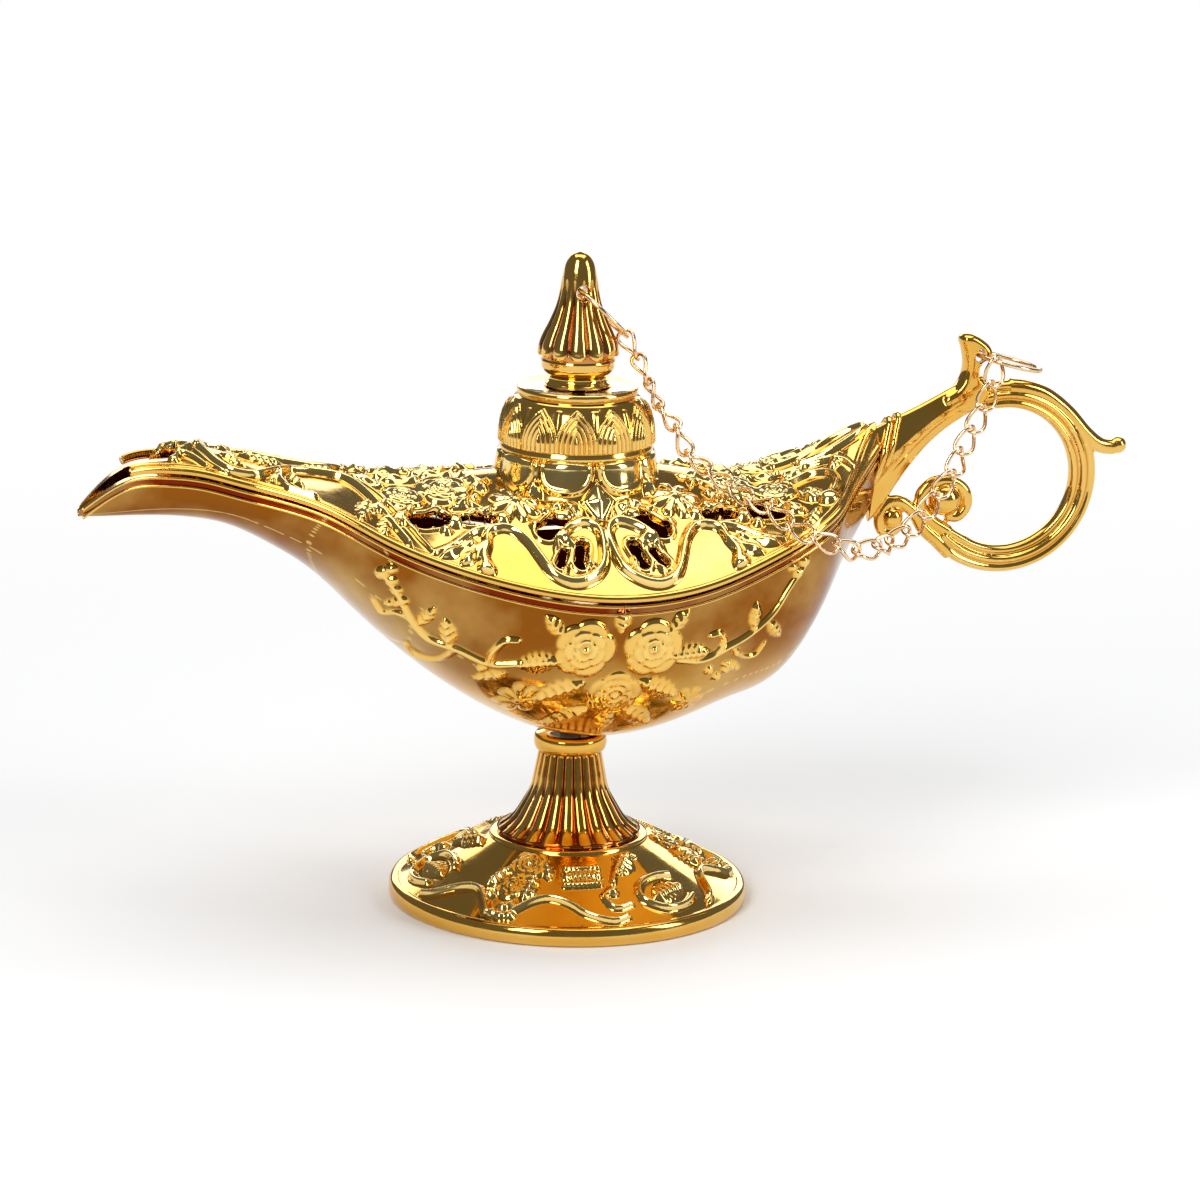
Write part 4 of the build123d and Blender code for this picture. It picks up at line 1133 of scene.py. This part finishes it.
def make_foot():
    edge = [(31.8, 1.3), (32.6, 0.0), (34.4, 0.0), (34.9, 0.35), (35.0, 1.0), (34.95, 2.7)]
    edge += [(34.6, 3.35), (34.0, 3.65), (33.5, 3.7), (33.15, 3.5)]
    cone = [(33.0 - 17.4 * share, 3.35 + 8.75 * share**1.06) for share in np.linspace(0, 1, 84)]
    step = [(15.4, 12.15), (15.5, 12.6), (15.2, 12.95), (14.5, foot_top), (bolt_hole_radius, foot_top)]
    under = [(bolt_hole_radius, 8.0), (7.0, 8.0), (7.0, 9.9), (13.2, 9.9)]
    profile = np.vstack([edge, cone, step, under])
    columns = 840
    angles = -np.linspace(0, math.tau, columns, endpoint=False)
    radius = profile[:, :1]
    sector = math.tau / motif_repeats
    overlap = math.radians(motif_overlap_deg)
    local = (angles - math.radians(motif_start_deg) + overlap) % sector - overlap
    canvas = Canvas(radius * np.cos(local), radius * np.sin(local))
    foot_motif(canvas)
    on_cone = (radius < 32.9) & (radius > 15.7) & (profile[:, 1:] > 3.0) & (profile[:, 1:] < 12.3)
    on_cone &= np.arange(len(profile))[:, None] < len(edge) + len(cone)
    raised = softened(canvas.height * on_cone, 3)
    foot = lathe("foot_casting", profile, columns, closed=True, relief=lambda a, h, r: raised)
    dress(foot, "lamp_body", gold, "gold_plate", "foot")


stem_profile = [(14.0, 13.0), (13.9, 13.5), (11.2, 15.6), (9.2, 18.7), (7.7, 21.6), (6.9, 25.2)]
stem_profile += [(6.1, 29.3)]
collar_profile = [(6.1, 29.35), (6.75, 29.75), (7.1, 31.0), (7.0, 32.2), (6.6, 32.75)]
flute_count = 22


def bored(profile):
    """A profile closed along the bolt's hole."""
    low, high = profile[0][1], profile[-1][1]
    return np.vstack([[(bolt_hole_radius, low)], profile, [(bolt_hole_radius, high)]])


def flutes(angle, height, radius):
    """Convex ribs between thin grooves, with scalloped ends just above the foot."""
    place = wrapped(angle, flute_count)
    rib = np.sqrt(np.clip(1 - place**2, 0, 1))
    start = foot_top + 1.4 - 0.9 * rib
    outside = radius > bolt_hole_radius + 0.2
    return np.where(height > start, 0.085 * radius * (rib - 1), -0.05 * radius) * outside


def make_stem():
    profile = bored(smooth_route(stem_profile, 22))
    stem = lathe("stem_casting", profile, 528, closed=True, relief=flutes)
    dress(stem, "lamp_body", gold, "gold_plate", "fluted_stem")
    collar = lathe("collar_ring", bored(smooth_route(collar_profile, 8)), 120, closed=True)
    dress(collar, "lamp_body", gold, "gold_plate", "stem_collar")


# Handle

handle_x = 87.0
handle_z = 80.5
screw_radius = 1.3
screw_head_height = 1.4
screw_hold = 4.4
screw_tip = 0.4
ring_inner = 13.8
ring_outer = 19.2
ring_start_deg = 112.0
ring_sweep_deg = 250.0
stalk_start = 60.3
stalk_reach = 20.5
curl_edge_inset = 1.25
curl_half_depth = 2.3
fusing_grain = 0.24
# Bands round the stalk's root: name, place along X and up, scale, and wire radius
tail_bands = [
    ("tail_band_inner", 60.5, 84.6, 1.0, 0.75),
    ("tail_band_outer", 62.6, 86.6, 0.86, 0.6),
]
tail_band_slant = 0.30


def handle_place(share):
    across, up = share
    return handle_x + across * ring_outer, 0.0, handle_z + up * ring_outer


def handle_strand(name, shares, start_radius, end_radius):
    route = smooth_route([handle_place(share) for share in shares], 10)
    radii = np.linspace(start_radius, end_radius, len(route))
    sections = radii[:, None, None] * round_section(1.0, 20)
    return sweep(name, route, sections)


def bevel_section(half_width, half_height, ridge):
    """The stalk's section: a flat flank on each side between a ridge above and below."""
    quarter = [(1.0, ridge), (0.86, ridge + 0.12), (0.55, 0.70), (0.40, 0.90), (0.16, 1.0)]
    upper = quarter + [(-across, up) for across, up in quarter[::-1]]
    outline = upper + [(across, -up) for across, up in upper[::-1]]
    return [(half_width * across, half_height * up) for across, up in outline]


def make_stalk():
    """The bevelled stalk on upright sections, from the boat's tail up to the thumb curl."""
    x = np.linspace(59.2, 82.0, 60)
    share = (x - stalk_start) / stalk_reach
    places = [-0.05, 0.0, 0.26, 0.52, 1.0, 1.06]
    middle = along_spline(places, [81.6, 82.4, 87.4, 91.9, 97.4, 97.8], share)
    half_height = along_spline(places, [9.2, 8.9, 6.4, 4.4, 3.2, 3.0], share)
    half_width = np.interp(share, places[1:-1], [3.1, 2.8, 2.45, 2.3])
    outline = np.array(bevel_section(1.0, 1.0, 0.2))
    points = np.zeros((len(x), len(outline), 3))
    points[..., 0] = x[:, None]
    points[..., 1] = half_width[:, None] * outline[:, 0]
    points[..., 2] = middle[:, None] + half_height[:, None] * outline[:, 1]
    size = (len(x), len(outline))
    return mesh_object("handle_stalk", points, grid_faces(*size, False, True), end_caps(*size))


# The ring's ridges: place outwards, half width and half depth
ring_ridges = [(-1.78, 0.92, 1.5), (0.0, 0.98, 1.95), (1.78, 0.92, 1.5)]
ring_core_depth = 1.15


def ridge_section(ridges, count=96):
    """Outline across the ring: its flat core with the ridges on both sides."""
    angles = np.linspace(0, math.tau, count, endpoint=False)
    half = (ring_outer - ring_inner) / 2
    out = half * np.cos(angles)
    depth = ring_core_depth * np.abs(np.sin(angles))
    for place, half_width, half_depth in ridges:
        rise = np.sqrt(np.clip(1 - ((out - place) / half_width) ** 2, 0, 1))
        depth = np.maximum(depth, half_depth * rise)
    return np.stack([np.sign(np.sin(angles)) * depth, out], axis=1)


def handle_ring():
    """The finger ring: three ridges side by side on a flat core, thinner where it ends."""
    middle = (ring_inner + ring_outer) / 2
    angles = np.radians(np.linspace(ring_start_deg, ring_start_deg - ring_sweep_deg, 180))
    x = handle_x + middle * np.cos(angles)
    z = handle_z + middle * np.sin(angles)
    route = np.stack([x, 0 * angles, z], axis=1)
    share = np.linspace(0, 1, 180)
    taper = np.clip(0.62 + np.minimum(share, 1 - share) / 0.16, 0, 1) ** 0.6
    return sweep("handle_ring", route, taper[:, None, None] * ridge_section(ring_ridges))


curl_outline = [
    (73.6, 96.8), (76.2, 98.8), (77.5, 101.2), (77.8, 103.6), (77.3, 106.4), (76.8, 108.0),
    (77.4, 109.2), (79.2, 109.3), (81.3, 108.2), (83.0, 106.6), (83.5, 104.9), (82.4, 103.9),
    (81.2, 103.2), (80.7, 101.9), (81.2, 100.2), (83.2, 98.2), (81.5, 95.2), (77.0, 93.8),
    (74.0, 93.6),
]


def thumb_curl():
    """The hooked thumb rest above the stalk, a plate with well rounded edges."""
    outline = smooth_route(curl_outline, 6, closed=True)
    tangent = np.roll(outline, -1, axis=0) - np.roll(outline, 1, axis=0)
    inward = np.stack([tangent[:, 1], -tangent[:, 0]], axis=1)
    inward /= np.linalg.norm(inward, axis=1, keepdims=True)
    layers = []
    for turn in np.linspace(-math.pi / 2, math.pi / 2, 17):
        inset = curl_edge_inset * (1 - math.cos(turn)) ** 1.2
        place = outline + inward * inset
        depth = np.full(len(place), curl_half_depth * math.sin(turn))
        layers.append(np.stack([place[:, 0], depth, place[:, 1]], axis=1))
    size = (len(layers), len(outline))
    return mesh_object("thumb_curl", np.array(layers), grid_faces(*size, False, True), end_caps(*size))


def make_handle():
    """One casting: the parts are fused so that their joints are filled as in metal."""
    pieces = [handle_ring(), make_stalk(), thumb_curl()]
    tail = [(0.02, 0.93), (0.22, 0.905), (0.435, 0.825), (0.672, 0.640), (0.870, 0.425)]
    tail += [(1.020, 0.305), (1.160, 0.270), (1.240, 0.285)]
    outer = [(-0.545, -0.790), (-0.700, -0.640), (-0.845, -0.510), (-0.953, -0.340), (-1.109, -0.225)]
    outer += [(-1.245, -0.245), (-1.320, -0.400), (-1.275, -0.530), (-1.150, -0.520), (-1.105, -0.425)]
    inner = [(-0.575, -0.560), (-0.755, -0.443), (-0.872, -0.302), (-0.872, -0.156), (-0.755, -0.040)]
    inner += [(-0.568, -0.030), (-0.415, -0.130), (-0.385, -0.285), (-0.475, -0.400), (-0.610, -0.390)]
    pieces.append(handle_strand("handle_tail", tail, 1.75, 1.45))
    pieces.append(handle_strand("outer_strand", outer, 1.45, 1.0))
    pieces.append(handle_strand("inner_strand", inner, 1.35, 1.05))
    pieces.append(ball("tail_knob", handle_place((1.245, 0.288)), 1.65))
    pieces.append(ball("scroll_ball", handle_place((-0.625, -0.215)), 3.3))
    pieces.append(ball("outer_ball", handle_place((-1.190, -0.385)), 2.3))
    handle = joined("handle_casting", pieces)
    fuse = handle.modifiers.new("fuse", "REMESH")
    fuse.mode = "VOXEL"
    fuse.voxel_size = fusing_grain * MM
    soften = handle.modifiers.new("soften", "SMOOTH")
    soften.factor = 0.5
    soften.iterations = 3
    apply_modifiers(handle)
    drill(handle, eye_place[0], eye_place[2], eye_radius, handle_drill_reach, 32)
    dress(handle, "lamp_body", gold, "gold_plate", "handle")


def make_tail_socket():
    """Two raised bands round the root of the stalk, where it meets the boat's tail."""
    outline = smooth_route(bevel_section(3.25, 8.0, 0.25), 3, closed=True)
    for name, x, z, scale, radius in tail_bands:
        across, up = outline.T
        route = np.stack([x + tail_band_slant * up * scale, across * scale, z + up * scale], axis=1)
        band = sweep(name, route, round_section(radius, 12), True, (1.0, 0.0, 0.0))
        dress(band, "lamp_body", gold, "gold_plate")


def make_handle_screw():
    """The screw through the boat's tail; its end stays inside the stalk's root."""
    low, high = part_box("handle_screw")
    seat = low.x / MM + screw_head_height
    radius = (high.z - low.z) / MM / 2
    end = tail_reach + screw_hold
    crown = seat - screw_head_height
    profile = [(0.01, crown), (0.8 * radius, crown), (radius, seat - 0.5 * screw_head_height)]
    profile += [(radius, seat), (screw_radius, seat), (screw_radius, end - screw_tip)]
    profile += [(screw_radius - screw_tip, end), (0.01, end)]
    screw = lathe("handle_screw_steel", profile, 40)
    middle = (low.z + high.z) / 2
    screw.data.transform(Matrix.Translation((0, 0, middle)) @ Matrix.Rotation(math.pi / 2, 4, "Y"))
    dress(screw, "lamp_body", plated_steel, "zinc_plated_steel", "handle_screw")


# Chain and rings

ring_radius = 6.7
ring_wire = 0.45
ring_eye_shift = 0.55
finial_ring_slope_deg = 44.0
handle_ring_slope_deg = 14.0
link_width = 4.3
link_wire = 0.37
link_hook_gap = 0.26
link_twist_share = 0.5
chain_lean_deg = 120.0
chain_lean_end_share = 0.75
joint_places = {joint["name"]: np.array(joint.get("pos_m", (0, 0, 0))) / MM for joint in frame["joints"]}
link_names = sorted(name for name in frame["nodes"] if name.startswith("chain_link_"))
eye_place = joint_places["handle_ring_swing"]


def slope_direction(degrees):
    slope = math.radians(degrees)
    return np.array([math.cos(slope), 0.0, -math.sin(slope)])


def make_ring(node, eye, slope_deg):
    along = slope_direction(slope_deg)
    centre = eye + along * (ring_radius - ring_eye_shift)
    angles = np.linspace(0, math.tau, 96, endpoint=False)[:, None]
    spread = np.cos(angles) * along + np.sin(angles) * np.array([0.0, 1.0, 0.0])
    route = centre + ring_radius * spread
    ring = sweep(node + "_wire", route, round_section(ring_wire, 14), True, spread)
    dress(ring, node, wire_gold, "pale_gold_wire", node)


def link_number(body):
    return int(body.rsplit("_", 1)[1])


def node_middle(node):
    piece = frame["nodes"][node]
    places = [piece.matrix_world @ vertex.co for vertex in piece.data.vertices]
    return np.array(sum(places, Vector())) / len(places) / MM


def chain_pivots():
    """Where each link turns on the next; an open hook lies between its links' middles."""
    hooks = {}
    for joint in frame["joints"]:
        if not joint["name"].startswith("link_") or joint["parent"] == "lamp_body":
            continue
        number = link_number(joint["child"])
        from_below = joint["parent"] in ("finial_ring", f"chain_link_{number - 1:02d}")
        hooks[number - 1 if from_below else number] = joint_places[joint["name"]]
    for place in range(len(link_names) + 1):
        if place not in hooks:
            from_low = 2 * node_middle(link_names[place - 1]) - hooks[place - 1]
            from_high = 2 * node_middle(link_names[place]) - hooks[place + 1]
            hooks[place] = (from_low + from_high) / 2
    return [hooks[place] for place in range(len(link_names) + 1)]


def make_link(number, pivots):
    """One twisted oval link, swept along its own curve."""
    first, second = pivots[number], pivots[number + 1]
    chord = np.linalg.norm(second - first)
    along = (second - first) / chord
    share = (number + 0.5) / len(link_names)
    lean = math.radians(chain_lean_deg) * max(0, 1 - share / chain_lean_end_share)
    facing = np.array([0.0, -math.cos(lean), math.sin(lean)])
    face = facing - along * (facing @ along)
    face /= np.linalg.norm(face)
    across = np.cross(face, along)
    half_length = chord / 2 + link_wire + link_hook_gap / 2
    half_width = link_width / 2 - link_wire
    angles = np.linspace(0, math.tau, 60, endpoint=False)[:, None]
    local = half_length * np.cos(angles) * along + half_width * np.sin(angles) * across
    local = local + link_twist_share * half_width * np.sin(2 * angles) * face
    node = link_names[number]
    middle = (first + second) / 2
    link = sweep(node + "_wire", middle + local, round_section(link_wire, 12), True, local)
    dress(link, node, wire_gold, "pale_gold_wire", node)


def make_chain():
    pivots = chain_pivots()
    for number in range(len(link_names)):
        make_link(number, pivots)


# Pieces kept from the frame

def finish_cad(node, material):
    """Gives a piece that keeps its CAD mesh its material."""
    piece = frame["nodes"][node]
    piece.data.materials.clear()
    piece.data.materials.append(material)
    for polygon in piece.data.polygons:
        polygon.material_index = 0


def finish_hidden_pieces():
    finish_cad("base_pad", black_felt)
    finish_cad("lid_plug", turned_brass)
    for node in ("foot_bolt", "foot_washer", "bowl_washer", "bolt_nut", "finial_screw"):
        finish_cad(node, plated_steel)


# Studio

floor_size = 6.0
floor_fade_start = 0.12
floor_fade_end = 0.45
light_target = (0.0, 0.0, 0.07)
# Softboxes: name, place, width and height in metres, and watts
softboxes = [
    ("key_softbox", (-0.55, -0.60, 0.62), 0.32, 0.62, 5.0),
    ("fill_softbox", (0.70, -0.50, 0.42), 0.22, 0.60, 2.9),
    ("top_softbox", (0.05, 0.10, 0.95), 1.10, 0.66, 5.2),
    ("back_softbox", (0.22, 0.85, 0.34), 0.90, 0.34, 2.4),
]


def pale_floor():
    """The floor: lit and shadowed round the lamp, and white as a background further off."""
    mesh = bpy.data.meshes.new("floor")
    corners = [(-floor_size, -floor_size, 0), (floor_size, -floor_size, 0)]
    corners += [(floor_size, floor_size, 0), (-floor_size, floor_size, 0)]
    mesh.from_pydata(corners, [], [(0, 1, 2, 3)])
    floor = bpy.data.objects.new("floor", mesh)
    bpy.context.scene.collection.objects.link(floor)
    material, tree, shader = node_material("pale_floor")
    shader.inputs["Base Color"].default_value = (0.96, 0.965, 0.97, 1)
    shader.inputs["Roughness"].default_value = 0.8
    place = tree.nodes.new("ShaderNodeTexCoord")
    reach = tree.nodes.new("ShaderNodeVectorMath")
    reach.operation = "LENGTH"
    tree.links.new(place.outputs["Object"], reach.inputs[0])
    fade = tree.nodes.new("ShaderNodeMapRange")
    fade.interpolation_type = "SMOOTHSTEP"
    fade.inputs["From Min"].default_value = floor_fade_start
    fade.inputs["From Max"].default_value = floor_fade_end
    tree.links.new(reach.outputs["Value"], fade.inputs["Value"])
    path = tree.nodes.new("ShaderNodeLightPath")
    rays = None
    for kind in ("Is Camera Ray", "Is Glossy Ray", "Is Transmission Ray"):
        if rays is None:
            rays = path.outputs[kind]
            continue
        either = tree.nodes.new("ShaderNodeMath")
        either.operation = "MAXIMUM"
        tree.links.new(rays, either.inputs[0])
        tree.links.new(path.outputs[kind], either.inputs[1])
        rays = either.outputs["Value"]
    share = tree.nodes.new("ShaderNodeMath")
    share.operation = "MULTIPLY"
    tree.links.new(rays, share.inputs[0])
    tree.links.new(fade.outputs["Result"], share.inputs[1])
    white = tree.nodes.new("ShaderNodeEmission")
    white.inputs["Strength"].default_value = 1.0
    blend = tree.nodes.new("ShaderNodeMixShader")
    tree.links.new(share.outputs["Value"], blend.inputs["Fac"])
    tree.links.new(shader.outputs["BSDF"], blend.inputs[1])
    tree.links.new(white.outputs["Emission"], blend.inputs[2])
    tree.links.new(blend.outputs["Shader"], tree.nodes["Material Output"].inputs["Surface"])
    floor.data.materials.append(material)


def softbox(name, place, width, height, watts):
    data = bpy.data.lights.new(name, "AREA")
    data.shape = "RECTANGLE"
    data.size = width
    data.size_y = height
    data.energy = watts
    lamp = bpy.data.objects.new(name, data)
    lamp.location = place
    lamp.rotation_mode = "QUATERNION"
    lamp.rotation_quaternion = (Vector(light_target) - Vector(place)).to_track_quat("-Z", "Y")
    bpy.context.scene.collection.objects.link(lamp)


def studio_light():
    world = bpy.data.worlds.new("studio")
    bpy.context.scene.world = world
    world.use_nodes = True
    back = world.node_tree.nodes["Background"]
    back.inputs["Color"].default_value = (0.97, 0.97, 0.97, 1)
    back.inputs["Strength"].default_value = 0.15
    for box in softboxes:
        softbox(*box)


camera_place = (-0.2202, -0.8216, 0.2663)
camera_azimuth_deg = -15.0
camera_pitch_deg = 13.69
camera_roll_deg = 1.185
camera_lens = 136.0
camera_shift = 0.0226


def make_camera():
    data = bpy.data.cameras.new("camera")
    data.lens = camera_lens
    data.sensor_width = 36.0
    data.shift_x = camera_shift
    data.clip_start = 0.01
    camera = bpy.data.objects.new("camera", data)
    camera.location = camera_place
    azimuth = math.radians(camera_azimuth_deg)
    pitch = math.radians(camera_pitch_deg)
    roll = math.radians(camera_roll_deg)
    turn = Matrix.Rotation(azimuth, 4, "Z") @ Matrix.Rotation(math.pi / 2 - pitch, 4, "X")
    turn = turn @ Matrix.Rotation(roll, 4, "Z")
    camera.rotation_mode = "QUATERNION"
    camera.rotation_quaternion = turn.to_quaternion()
    bpy.context.scene.collection.objects.link(camera)
    bpy.context.scene.camera = camera


make_bowl()
make_edge_rolls()
make_cover()
make_throat()
make_lid()
make_finial()
make_foot()
make_stem()
make_handle()
make_tail_socket()
make_handle_screw()
make_ring("finial_ring", joint_places["finial_ring_swing"], finial_ring_slope_deg)
make_ring("handle_jump_ring", joint_places["handle_ring_swing"], handle_ring_slope_deg)
make_chain()
finish_hidden_pieces()
pale_floor()
studio_light()
make_camera()
bpy.context.scene.view_settings.view_transform = "Standard"
